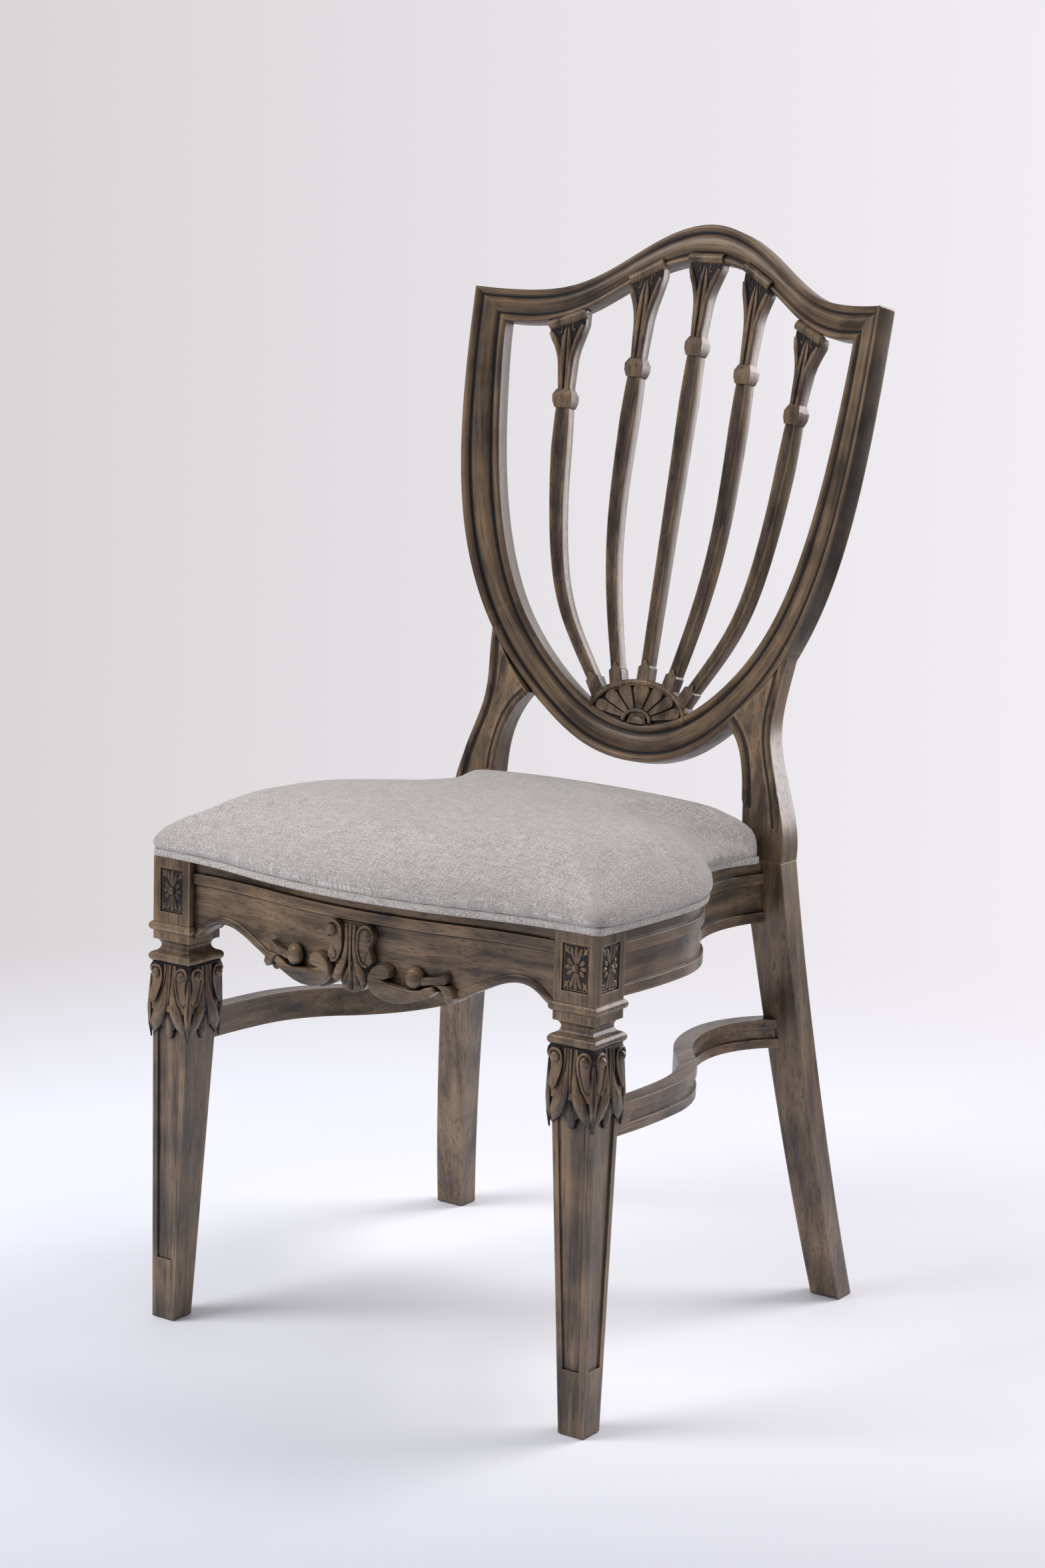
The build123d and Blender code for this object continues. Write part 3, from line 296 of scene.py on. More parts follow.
def plain_finish(name, colour, roughness, metallic=0.0):
    """A small hidden fitting: nearly one colour, slightly uneven."""
    finish = Finish(name)
    speck = finish.noise(finish.place(), 400, 2)
    tone = finish.mix(finish.ramp(speck, 0.3, 0.7), tuple(value * 0.8 for value in colour), colour)
    finish.set(Base_Color=tone, Roughness=roughness + speck * 0.1)
    finish.set(Metallic=metallic)
    return finish.material


wood_upright = stained_wood("stained_wood_upright", (1, 1, 0.05))
wood_across = stained_wood("stained_wood_across", (0.05, 1, 1))
wood_fore_aft = stained_wood("stained_wood_fore_aft", (1, 0.05, 1))
wood_frame = stained_wood("stained_wood_frame", (0.05, 1, 1), grain_map="grain")
carved_upright = stained_wood("carved_wood_upright", (1, 1, 0.06), edge=0.0011, wear=0.5)
carved_across = stained_wood("carved_wood_across", (0.06, 1, 1), edge=0.0011, wear=0.5)
beech = bare_wood("bare_beech", (0.06, 1, 1), (0.42, 0.27, 0.14), (0.33, 0.20, 0.10))
plywood = bare_wood("birch_plywood", (0.05, 1, 1), (0.45, 0.32, 0.18), (0.36, 0.24, 0.13))
weave = woven_cloth("grey_beige_weave", (0.64, 0.585, 0.545), (0.35, 0.315, 0.290), THREAD)
lining = plain_finish("black_lining", (0.022, 0.022, 0.022), 0.85)
foam_skin = plain_finish("pale_foam", (0.60, 0.53, 0.38), 0.9)
zinc = plain_finish("zinc_steel", (0.52, 0.51, 0.49), 0.3, 1.0)
nylon = plain_finish("dark_nylon", (0.03, 0.028, 0.026), 0.5)

finishes = {}
for finish, kinds in (
        (wood_upright, "front_leg rear_leg back_post shield_stile fan_rosette"),
        (wood_upright, "outer_baluster inner_baluster centre_baluster"),
        (wood_across, "crest_rail shield_base_rail front_apron rear_rail"),
        (wood_fore_aft, "side_rail stretcher"),
        (beech, "front_corner_block rear_corner_block rail_dowels stretcher_dowels post_dowels shield_dowels"),
        (plywood, "seat_board"), (foam_skin, "seat_foam"), (lining, "dust_cover"),
        (zinc, "block_screws seat_screws"), (nylon, "foot_glides"), (weave, "seat_cover seat_welt")):
    finishes.update(dict.fromkeys(kinds.split(), finish))
for name, node in nodes.items():
    kind = name.removesuffix("_left").removesuffix("_right")
    node.data.materials.clear()
    node.data.materials.append(finishes[kind])


def only(piece):
    """Selects one piece and nothing else."""
    unselect()
    piece.select_set(True)
    bpy.context.view_layer.objects.active = piece


def linked(name, data):
    """A new object in the scene."""
    piece = bpy.data.objects.new(name, data)
    bpy.context.collection.objects.link(piece)
    return piece


def edited(piece, work):
    """Does some work on the whole of a piece in edit mode."""
    only(piece)
    bpy.ops.object.mode_set(mode="EDIT")
    bpy.ops.mesh.select_all(action="SELECT")
    work()
    bpy.ops.object.mode_set(mode="OBJECT")
    return piece


def closed_up(piece, distance):
    """Merges doubled points and turns all faces outwards."""
    def work():
        bpy.ops.mesh.remove_doubles(threshold=distance)
        bpy.ops.mesh.normals_make_consistent(inside=False)
    return edited(piece, work)


def outlined(name, points):
    """A flat drawing with one closed outline."""
    drawing = bpy.data.curves.new(name, "CURVE")
    drawing.dimensions = "2D"
    line = drawing.splines.new("POLY")
    line.points.add(len(points) - 1)
    line.use_cyclic_u = True
    for spot, (x, y) in zip(line.points, points):
        spot.co = (x, y, 0, 1)
    return drawing


def section(name, points):
    """A closed cross-section for swept ridges, in shares of their half width."""
    return linked(name, outlined(name, points))


ROUND_SIDES = 14


def round_points(height):
    turns = [2 * pi * i / ROUND_SIDES for i in range(ROUND_SIDES)]
    return [(cos(turn), height * sin(turn)) for turn in turns]


ROUND = section("round_section", round_points(1.0))
LEAF = section("leaf_section", round_points(0.62))
HOLLOW = section("hollow_section", [
    (-1, -0.07), (-0.95, 0), (-0.86, 0.03), (-0.74, -0.03), (-0.5, -0.2), (0, -0.33), (0.5, -0.2),
    (0.74, -0.03), (0.86, 0.03), (0.95, 0), (1, -0.07), (1, -1.8), (-1, -1.8)])
PETAL = section("petal_section", [
    (-1, -0.35), (-0.96, -0.08), (-0.84, 0.04), (-0.6, -0.01), (-0.3, -0.05), (0, -0.06), (0.3, -0.05),
    (0.6, -0.01), (0.84, 0.04), (0.96, -0.08), (1, -0.35), (1, -0.5), (-1, -0.5)])
FRAME_MIDDLE = FRAME_HALF[-1][0]
frame_face = [(across / FRAME_MIDDLE - 1, up / FRAME_MIDDLE) for across, up in FRAME_HALF]
frame_face += [(-across, up) for across, up in frame_face[-2::-1]]
frame_back = -FRAME_DEPTH / FRAME_MIDDLE
FRAME = section("frame_section", frame_face + [(1, frame_back), (-1, frame_back)])


def meshed(name, drawing):
    """A drawn curve made a mesh."""
    piece = linked(name, drawing)
    only(piece)
    bpy.ops.object.convert(target="MESH")
    return piece


def swept(name, strokes, profile, smooth=True):
    """Ridges drawn in the flat: each is a row of points, a width at each and a lift off the surface."""
    drawing = bpy.data.curves.new(name, "CURVE")
    drawing.dimensions = "3D"
    drawing.twist_mode = "Z_UP"
    drawing.bevel_mode = "OBJECT"
    drawing.bevel_object = profile
    drawing.use_fill_caps = True
    drawing.resolution_u = 5
    for points, widths, lift in strokes:
        if not isinstance(widths, (list, tuple)):
            widths = [widths] * len(points)
        line = drawing.splines.new("BEZIER" if smooth else "POLY")
        spots = line.bezier_points if smooth else line.points
        spots.add(len(points) - 1)
        for spot, (x, y), width in zip(spots, points, widths):
            spot.radius = width / 2
            spot.co = (x, y, lift) if smooth else (x, y, lift, 1)
            if smooth:
                spot.handle_left_type = spot.handle_right_type = "AUTO"
    return meshed(name, drawing)


def plate(name, outline, thickness, edge, top=0.0):
    """A flat shape with a rounded edge, its front at the given height."""
    drawing = outlined(name, outline)
    drawing.fill_mode = "BOTH"
    drawing.extrude = thickness / 2 - edge
    drawing.bevel_depth = edge
    drawing.bevel_resolution = 2
    drawing.offset = -edge
    piece = meshed(name, drawing)
    piece.data.transform(Matrix.Translation((0, 0, -thickness / 2)))
    piece.data.transform(Matrix.Translation((0, 0, top)))
    return piece


def ball(centre, size):
    """A berry or boss."""
    unselect()
    bpy.ops.mesh.primitive_uv_sphere_add(segments=20, ring_count=12, radius=0.5)
    piece = bpy.context.object
    piece.data.transform(Matrix.LocRotScale(Vector(centre), None, Vector(size)))
    return piece


def joined(name, pieces):
    """Several shapes made one piece."""
    unselect()
    for piece in pieces:
        piece.select_set(True)
    bpy.context.view_layer.objects.active = pieces[0]
    bpy.ops.object.join()
    pieces[0].name = name
    pieces[0].data.name = name
    return pieces[0]


def copied(piece):
    twin = piece.copy()
    twin.data = piece.data.copy()
    bpy.context.collection.objects.link(twin)
    return twin


def applied(piece, kind, **settings):
    """Adds a modifier and applies it."""
    only(piece)
    change = piece.modifiers.new(kind.lower(), kind)
    for key, value in settings.items():
        setattr(change, key, value)
    bpy.ops.object.modifier_apply(modifier=change.name)
    return piece


def glazed_and_shaded(piece, low, high, most=1.0, back=-4.0):
    """Marks where a flat drawing is dark with glaze and painted shade: fully at the low height, not at all at
    the high one.
    """
    mark = piece.data.attributes.new("glaze", "FLOAT", "POINT")
    for spot in piece.data.vertices:
        if spot.co.z > back:
            mark.data[spot.index].value = most * min(max((high - spot.co.z) / (high - low), 0.0), 1.0)
    return piece


def laid(piece, place):
    """Carries a flat drawing on to its surface."""
    for spot in piece.data.vertices:
        spot.co = Vector(place(*spot.co)) * MM
    return piece


def fitted(piece, finish, stands_for=(), angle=42):
    """Closes a piece up, paints it and fixes it to the chair."""
    closed_up(piece, 0.01 * MM)
    bpy.ops.object.shade_smooth_by_angle(angle=radians(angle))
    piece.data.materials.clear()
    piece.data.materials.append(finish)
    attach(piece, "root")
    if stands_for:
        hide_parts(*stands_for)
    return piece


def trimmed(piece, point, outwards):
    """Cuts off what lies beyond a line in the flat and closes the cut."""
    return edited(piece, lambda: bpy.ops.mesh.bisect(
        plane_co=(*point, 0), plane_no=(*outwards, 0), use_fill=True, clear_outer=True))


def dish(x):
    return DISH_RADIUS - sqrt(DISH_RADIUS ** 2 - x ** 2)


def on_back(x, y, proud):
    """A point of the shield back; what lies behind its face spreads outwards a little."""
    depth = dish(x) + proud
    across = x * (1 - min(proud, 0) / (2 * DISH_RADIUS))
    return (across, BACK_Y + y * sin(BACK_LEAN) - depth * cos(BACK_LEAN),
            BACK_Z + y * cos(BACK_LEAN) + depth * sin(BACK_LEAN))


def smooth_line(points, start, end, count):
    """Points along the smooth curve through a few points, with its end directions given."""
    spots = np.array(points, float)
    steps = np.linalg.norm(np.diff(spots, axis=0), axis=1)
    at = np.concatenate([[0], np.cumsum(steps)])
    size = len(spots)
    system = np.zeros((size, size))
    aim = np.zeros((size, 2))
    system[0, 0] = system[-1, -1] = 1
    aim[0] = np.array(start) / np.linalg.norm(start)
    aim[-1] = np.array(end) / np.linalg.norm(end)
    for i in range(1, size - 1):
        before, after = steps[i - 1], steps[i]
        system[i, i - 1:i + 2] = after, 2 * (before + after), before
        aim[i] = 3 * (after / before * (spots[i] - spots[i - 1]) + before / after * (spots[i + 1] - spots[i]))
    slopes = np.linalg.solve(system, aim)
    result = []
    for t in np.linspace(0, at[-1], count):
        i = min(int(np.searchsorted(at, t, side="right")) - 1, size - 2)
        step = steps[i]
        s = (t - at[i]) / step
        result.append((2 * s ** 3 - 3 * s ** 2 + 1) * spots[i] + (s ** 3 - 2 * s ** 2 + s) * step * slopes[i]
                      + (3 * s ** 2 - 2 * s ** 3) * spots[i + 1] + (s ** 3 - s ** 2) * step * slopes[i + 1])
    return np.array(result)


def mirrored_line(line):
    """A right-hand line made whole: its left twin, then itself."""
    twin = line[::-1] * (-1, 1)
    return np.concatenate([twin[:-1], line])


def moved_over(line, distance):
    """A line moved sideways, to the left of its run."""
    run = np.gradient(line, axis=0)
    run /= np.linalg.norm(run, axis=1)[:, None]
    return line + distance * np.stack([-run[:, 1], run[:, 0]], axis=1)


def drawn_on(line, length):
    """A line carried straight on at both ends."""
    steps = np.arange(2.0, length, 2.0)[:, None]
    start = (line[0] - line[1]) / np.linalg.norm(line[0] - line[1])
    end = (line[-1] - line[-2]) / np.linalg.norm(line[-1] - line[-2])
    return np.concatenate([line[0] + steps[::-1] * start, line, line[-1] + steps * end])


def shield_lines(half_width, bottom, corner, apex, side, crest, fineness):
    """The side line, from the bottom to the right corner, and the crest line, from left to right."""
    side_points = [(0, bottom)] + [(a * half_width, bottom + b * (corner - bottom)) for a, b in side]
    crest_points = [(half_width, corner)] + [(a * half_width, corner + b * (apex - corner)) for a, b in crest]
    side_line = smooth_line(side_points + [(half_width, corner)], (1, 0), (0.02, 1), SIDE_STEPS * fineness)
    crest_line = smooth_line(crest_points + [(0, apex)], (-1, 0), (-1, 0), CREST_STEPS * fineness)
    return side_line, mirrored_line(crest_line[::-1])


outer_sides, outer_crest = shield_lines(
    SHIELD_HALF_WIDTH, SHIELD_BOTTOM, SHIELD_CORNER, SHIELD_APEX, OUTER_SIDE, OUTER_CREST, 1)
inner_sides, inner_crest = shield_lines(
    INNER_HALF_WIDTH, INNER_BOTTOM, INNER_CORNER, INNER_APEX, INNER_SIDE, INNER_CREST, 4)


def grained(piece, line, rows):
    """A map of a swept piece: its first direction runs along the sweep, like the grain."""
    along = np.concatenate([[0], np.cumsum(np.linalg.norm(np.diff(line, axis=0), axis=1))])
    grain = piece.data.uv_layers.new(name="grain")
    for corner in piece.data.loops:
        station, spot = divmod(corner.vertex_index, rows)
        grain.data[corner.index].uv = (along[min(station, len(along) - 1)] * MM, spot / rows * GRAIN_MAP_WIDTH)
    return piece


def frame_run(name, outer, inner):
    """The frame's section drawn along one run of the shield, longer than needed at both ends."""
    outer = drawn_on(outer, RUN_ON_OUTER)
    inner = drawn_on(inner, RUN_ON_INNER)
    near = inner[np.argmin(np.linalg.norm(outer[:, None] - inner[None], axis=2), axis=1)]
    widths = np.linalg.norm(outer - near, axis=1)
    run = swept(name, [((outer + near) / 2, list(widths), 0)], FRAME, smooth=False)
    for spot in run.data.vertices:
        if spot.co.z < -FRAME_DEPTH / 2:
            spot.co.z = -FRAME_DEPTH
    return grained(glazed_and_shaded(run, *FRAME_GLAZE_AND_SHADE), (outer + near) / 2, len(frame_face) + 2)


def frame_piece(name, run, cuts, node):
    """One piece of the shield's frame: a copy of a run, cut at its joints and laid on the back."""
    piece = copied(run)
    piece.name = name
    for point, outwards in cuts:
        trimmed(piece, point, outwards)
    fitted(laid(piece, on_back), wood_frame, stands_for=[node])


MITRE = Vector((SHIELD_HALF_WIDTH - INNER_HALF_WIDTH, SHIELD_CORNER - INNER_CORNER))
foot_start = (0, STILE_FOOT_RISE)
sides_run = frame_run("sides_run", mirrored_line(outer_sides), mirrored_line(inner_sides))
crest_run = frame_run("crest_run", outer_crest, inner_crest)
corner_cuts = {hand: ((hand * (SHIELD_HALF_WIDTH - TIP_NIP), SHIELD_CORNER - TIP_NIP), (hand, TIP_SLOPE))
               for hand in (1, -1)}
for hand, side in HANDS:
    slope = (-hand * sin(STILE_FOOT_ANGLE), -cos(STILE_FOOT_ANGLE))
    stile_cuts = [((hand * INNER_HALF_WIDTH, INNER_CORNER), (-hand * MITRE.y, MITRE.x)), (foot_start, slope),
                  ((0, 0), (-hand, 0)), corner_cuts[hand]]
    frame_piece(f"shield_moulding_{side}", sides_run, stile_cuts, f"shield_stile_{side}")
base_cuts = [(foot_start, (hand * sin(STILE_FOOT_ANGLE), cos(STILE_FOOT_ANGLE))) for hand in (1, -1)]
frame_piece("shield_moulding_base", sides_run, base_cuts, "shield_base_rail")
crest_cuts = [((hand * INNER_HALF_WIDTH, INNER_CORNER), (hand * MITRE.y, -MITRE.x)) for hand in (1, -1)]
crest_cuts += corner_cuts.values()
frame_piece("shield_moulding_crest", crest_run, crest_cuts, "crest_rail")
bpy.data.objects.remove(sides_run)
bpy.data.objects.remove(crest_run)


def crest_slope(x):
    """The slope of the crest's lower edge."""
    i = int(np.argmin(np.abs(inner_crest[:, 0] - x)))
    i = min(max(i, 1), len(inner_crest) - 2)
    run = inner_crest[i + 1] - inner_crest[i - 1]
    return run / np.linalg.norm(run)


def square_knop():
    """A square block, widest in the middle and drawn in at both ends."""
    unselect()
    bpy.ops.mesh.primitive_cube_add(size=1)
    block = bpy.context.object
    bpy.ops.object.mode_set(mode="EDIT")
    bpy.ops.mesh.subdivide(number_cuts=2)
    bpy.ops.object.mode_set(mode="OBJECT")
    for spot in block.data.vertices:
        level = KNOP_NARROWING[round((spot.co.y + 0.5) * 3)]
        x, y, z = spot.co
        spot.co = (x * level * KNOP_SIZE[0], y * KNOP_SIZE[1], z * level * KNOP_SIZE[2])
    applied(block, "BEVEL", width=0.6, segments=2, limit_method="ANGLE", angle_limit=radians(50))
    bpy.ops.object.shade_smooth_by_angle(angle=radians(18))
    return block


def baluster(name, line, node):
    """One baluster: rolled cap, leaf capital, square knop, hollow shaft and pointed cuff."""
    cap, knop, foot = Vector(line[0]), Vector(line[1]), Vector(line[-1])
    up = (cap - Vector(line[2])).normalized()
    side = Vector((up.y, -up.x))
    run = Vector(crest_slope(cap.x))
    height = (cap - knop).length - 4

    def leaf_point(across, rise):
        """A point of the capital; its top leans with the crest."""
        lean = (across * run - across * side) * rise ** 3
        spot = knop + across * side + rise * height * up + lean
        return (spot.x, spot.y)

    outline = [(-a, b) for a, b in CAPITAL_HALF] + CAPITAL_HALF[::-1]
    capital = plate("capital", [leaf_point(a, b) for a, b in outline], CAPITAL_DEPTH, 1.0)
    # The capital's ground, the lower sides of its leaves and the shaft's hollow are dark with glaze and painted
    # shade
    glazed_and_shaded(capital, 0.0, -1.0)
    petals = []
    for hand in (-1, 1):
        for leaf, breadths, lift in CAPITAL_LEAVES:
            petals.append(([leaf_point(hand * a, b) for a, b in leaf], breadths, lift))
    leaves = glazed_and_shaded(swept("leaves", petals, ROUND), 0.5, 1.3)
    roll_ends = [leaf_point(across, 1.02) for across in (-CAP_WIDTH / 2, 0, CAP_WIDTH / 2)]
    roll = swept("roll", [(roll_ends, CAP_ROLL, -0.8)], ROUND)
    shaft_line = smooth_line(line[1:], Vector(line[2]) - knop, foot - Vector(line[-2]), SHAFT_STEPS)
    widths = np.interp(np.linspace(0, 1, SHAFT_STEPS), SHAFT_SHARES, SHAFT_WIDTHS)
    shaft = swept("shaft", [(shaft_line, list(widths), 0)], HOLLOW, smooth=False)
    for spot in shaft.data.vertices:
        if spot.co.z < -4:
            spot.co.z = -SHAFT_DEPTH
    glazed_and_shaded(shaft, -1.9, -0.5, 0.8)
    block = square_knop()
    turn = Matrix(((side.x, up.x, 0, knop.x), (side.y, up.y, 0, knop.y), (0, 0, 1, -6.0), (0, 0, 0, 1)))
    block.data.transform(turn)
    foot_up = (Vector(line[-2]) - foot).normalized()
    foot_side = Vector((foot_up.y, -foot_up.x))
    cuff_outline = [foot + a * CUFF_WIDTH * foot_side + b * CUFF_HEIGHT * foot_up for a, b in CUFF_GABLE]
    cuff = plate("cuff", [(spot.x, spot.y) for spot in cuff_outline], CUFF_THICKNESS, 0.7, CUFF_LIFT)
    piece = joined(name, [capital, leaves, roll, shaft, block, cuff])
    return fitted(laid(piece, on_back), carved_upright, stands_for=[node])


def mirrored_points(points):
    return [(-x, y) for x, y in points]


for place, centre_line in (("outer", OUTER_BALUSTER), ("inner", INNER_BALUSTER)):
    baluster(f"baluster_{place}_right", centre_line, f"{place}_baluster_right")
    baluster(f"baluster_{place}_left", mirrored_points(centre_line), f"{place}_baluster_left")
baluster("baluster_centre", CENTRE_BALUSTER, "centre_baluster")

# Fan: petals and a button inside a raised rim
FAN_RADII = (54.0, 38.0)
FAN_RIM_WIDTH = 4.6
# Each petal's angle and width, then the shares of the way out and of the width along it
FAN_PETALS = ((90, 19.6), (66, 14.4), (114, 14.4), (44, 12.8), (136, 12.8), (22, 11.4), (158, 11.4))
PETAL_SHARES = [0.28, 0.48, 0.63, 0.76, 0.84, 0.90, 0.935]
PETAL_BREADTHS = [0.32, 0.56, 0.78, 0.97, 1.0, 0.84, 0.42]
FAN_GROUND = -2.6
RING_SHARE = 0.28
RING_WIDTH = 4.2
BUTTON_SIZE = (22, 15, 7)


def fan_point(angle, share):
    """A point of the fan: an angle in degrees and a share of the way out."""
    turn = radians(angle)
    return (share * FAN_RADII[0] * cos(turn), FAN_CENTRE + share * FAN_RADII[1] * sin(turn))


rim_line = [fan_point(angle, 1.0) for angle in range(8, 173, 8)]
fan_rim = swept("fan_rim", [(rim_line, FAN_RIM_WIDTH, -0.3)], ROUND)
fan_petals = [([fan_point(angle, share) for share in PETAL_SHARES], [width * b for b in PETAL_BREADTHS], -0.2)
              for angle, width in FAN_PETALS]
# The petals' low edges and the ground between them are dark with glaze and painted shade
petals = glazed_and_shaded(swept("petals", fan_petals, PETAL), -1.5, -0.7)
ground_line = [fan_point(angle, 0.97) for angle in range(0, 181, 6)]
fan_ground = plate("fan_ground", ground_line, 1.5, 0.1, FAN_GROUND)
applied(fan_ground, "SUBSURF", subdivision_type="SIMPLE", levels=4)
glazed_and_shaded(fan_ground, FAN_GROUND, -2.5)
ring_line = [fan_point(angle, RING_SHARE) for angle in range(0, 181, 15)]
button_ring = swept("button_ring", [(ring_line, RING_WIDTH, 0.5)], ROUND)
button = trimmed(ball((0, FAN_CENTRE - 1.0, -0.6), BUTTON_SIZE), (0, INNER_BOTTOM + 0.2), (0, -1))
fan = joined("fan_carving", [fan_rim, petals, fan_ground, button_ring, button])
fitted(laid(fan, on_back), carved_upright)

# Front legs: rosettes in the sunk panels and a collar of leaves under the neck
LEG_BLOCK = (216.5, -233.5)
BLOCK_HALF = 21.0
PANEL_DEPTH = 2.0
ROSETTE_Z = 403.1
NECK_Z = 336.5
COLLAR_HEIGHT = 44.0
# The collar's middle in plan and its half width, how they change down to its end, and the turn back below
COLLAR_CENTRE = (216.0, -233.0)
COLLAR_DRIFT = (1.2, -0.8)
COLLAR_HALF = 21.5
COLLAR_FLARE = 2.0
COLLAR_RETURN = 0.13
PANEL_EDGE = (12.2, 19.2)
PANEL_EDGE_WIDTH = 1.2
PANEL_GROUND = (12.4, 19.4)
CORNER_PETALS = (([(6.6, 11.0), (9.0, 14.4), (11.6, 18.2)], [1.6, 3.4, 2.0]),
                 ([(8.6, 13.6), (11.4, 13.0)], [2.4, 2.0]), ([(8.4, 14.4), (7.4, 18.0)], [2.4, 2.0]))
FACES = {"front": 0, "right": 90, "back": 180, "left": 270}


def turned(face, across, out):
    """Steps in plan for a step across a face and a step out of it."""
    turn = radians(FACES[face])
    return (across * cos(turn) + out * sin(turn), across * sin(turn) - out * cos(turn))


def on_block(hand, face):
    """The sunk panel on one face of a front leg's block."""
    def place(across, up, proud):
        dx, dy = turned(face, across, BLOCK_HALF - PANEL_DEPTH + proud)
        return (hand * LEG_BLOCK[0] + dx, LEG_BLOCK[1] + dy, ROSETTE_Z + up)
    return place


def on_collar(hand, face):
    """One face of the flared collar; below its end the surface turns back to the shaft."""
    def place(across, up, proud):
        fall = min(-up / COLLAR_HEIGHT, 1.0)
        half = COLLAR_HALF + COLLAR_FLARE * fall - COLLAR_RETURN * max(-up - COLLAR_HEIGHT, 0)
        dx, dy = turned(face, across, half + proud)
        return (hand * (COLLAR_CENTRE[0] + COLLAR_DRIFT[0] * fall) + dx,
                COLLAR_CENTRE[1] + COLLAR_DRIFT[1] * fall + dy, NECK_Z + up)
    return place


def both_ways(strokes):
    """Strokes of the right half together with their mirror twins."""
    return strokes + [(mirrored_points(points), widths, lift) for points, widths, lift in strokes]


def spoke(angle, start, end, widths):
    """A straight petal that points away from the middle."""
    turn = radians(angle)
    points = [(r * cos(turn), r * sin(turn)) for r in np.linspace(start, end, len(widths))]
    return (points, widths, 0.0)


def rectangle(half_width, half_height):
    """Corners about the middle, from the lower left one by way of the lower right."""
    return [(-half_width, -half_height), (half_width, -half_height), (half_width, half_height),
            (-half_width, half_height)]


def raised(outline, top, edge):
    """A flat-topped form that stands on a sunk face, dark with glaze and painted shade where it meets the face.
    """
    return glazed_and_shaded(plate("raised", outline, top + 3, edge, top), 0.0, top * 0.6)


rosette_petals = []
for up in (1, -1):
    for angle, length in ((90, 18.2), (73, 17.6), (107, 17.6)):
        rosette_petals.append(spoke(up * angle, 3, length, [1.6, 2.6, 3.6, 4.4, 2.8]))
for side in (0, 180):
    for angle in (-36, 0, 36):
        rosette_petals.append(spoke(side + angle, 3, 10.6, [2.0, 3.2, 4.4, 4.6, 2.6]))
for hand in (1, -1):
    for up in (1, -1):
        for points, widths in CORNER_PETALS:
            rosette_petals.append(([(hand * a, up * b) for a, b in points], widths, 0))
panel = rectangle(*PANEL_EDGE)
rosette_frame = [([panel[i], panel[j]], PANEL_EDGE_WIDTH, 0) for i, j in ((0, 1), (3, 2), (0, 3), (1, 2))]
# The rosette's ground and the lower sides of its petals are dark with glaze and painted shade
rosette_ground = plate("ground", rectangle(*PANEL_GROUND), 1.0, 0.1, 0.3)
glazed_and_shaded(rosette_ground, 0.3, 0.4)
rosette = joined("rosette", [glazed_and_shaded(swept("petals", rosette_petals, ROUND), 0.4, 1.2), rosette_ground,
                             swept("panel_edge", rosette_frame, ROUND), ball((0, 0, 1.4), (7, 7, 6))])
for hand, side in HANDS:
    faces = [laid(copied(rosette), on_block(hand, face)) for face in ("front", side)]
    fitted(joined(f"leg_rosettes_{side}", faces), carved_upright)
bpy.data.objects.remove(rosette)

pod_rim = [(20.2, -8), (19.0, -4.2), (15.0, -2.8), (10.4, -4.6), (8.2, -10.0), (8.8, -18), (11.6, -27),
           (14.0, -33), (17.2, -36.5), (20.2, -34), (20.6, -27), (19.2, -19)]
collar_leaves = both_ways([
    (pod_rim[:9], 2.4, 3.0),
    ([(3.4, -1), (3.6, -20), (5.6, -34), (10.0, -46), (14.6, -56), (18.6, -66)],
     [3.0, 4.4, 9.0, 14.0, 12.0, 2.4], 0.0),
    ([(6.2, -38), (9.6, -46), (13.4, -54)], [1.2, 2.0, 1.2], 3.6),
    ([(5.8, -1), (6.2, -12), (7.0, -22)], [2.6, 2.2, 1.0], 1.0),
    ([(21.8, -12), (21.6, -30), (21.4, -46), (21.6, -58), (21.8, -70)], [2.0, 3.4, 4.4, 4.4, 1.6], 0.4),
]) + [
    ([(0, -1), (0, -14), (0, -26), (0, -38)], [2.4, 2.6, 2.2, 1.0], 1.0),
    ([(0, -46), (0, -54), (0, -63), (0, -69)], [3.0, 8.0, 10.0, 5.0], -0.6),
]
skirt = [(21.4, 0), (21.6, -54), (17.0, -58), (12.0, -54), (8.0, -58), (3.6, -62)]
# The skirt's ground, the lower sides of the leaves and the feet of the pods are dark with glaze and painted
# shade
skirt_ground = plate("ground", skirt + mirrored_points(skirt[::-1]), 1.6, 0.1, 0.5)
glazed_and_shaded(skirt_ground, 0.5, 0.6)
turn_in = Vector(pod_rim[1]) - Vector(pod_rim[-1])
pod = [tuple(spot) for spot in smooth_line(pod_rim + pod_rim[:1], turn_in, turn_in, 60)[:-1]]
pods = [raised(outline, 2.6, 1.3) for outline in (pod, mirrored_points(pod[::-1]))]
leaves = joined("collar", [glazed_and_shaded(swept("leaves", collar_leaves, LEAF), 0.6, 1.4), skirt_ground, *pods,
                           *(ball((across, -9.4, 3.0), (8.8, 8.8, 7)) for across in (14.6, -14.6))])
for hand, side in HANDS:
    faces = [laid(copied(leaves), on_collar(hand, face)) for face in FACES]
    fitted(joined(f"leg_collar_{side}", faces), carved_upright)
bpy.data.objects.remove(leaves)

# Front apron: a lip along the arches and the carved middle
SWELL_RADIUS = 481.4
SWEEP_RADIUS = 416.6
APRON_RELIEF = 3.0
SWELL_HALF = 100
SWELL_FRONT = -270.0
SWEEP_CENTRE = (186.5, -667.0)
STRING_EDGES = (422.4, 411.5)


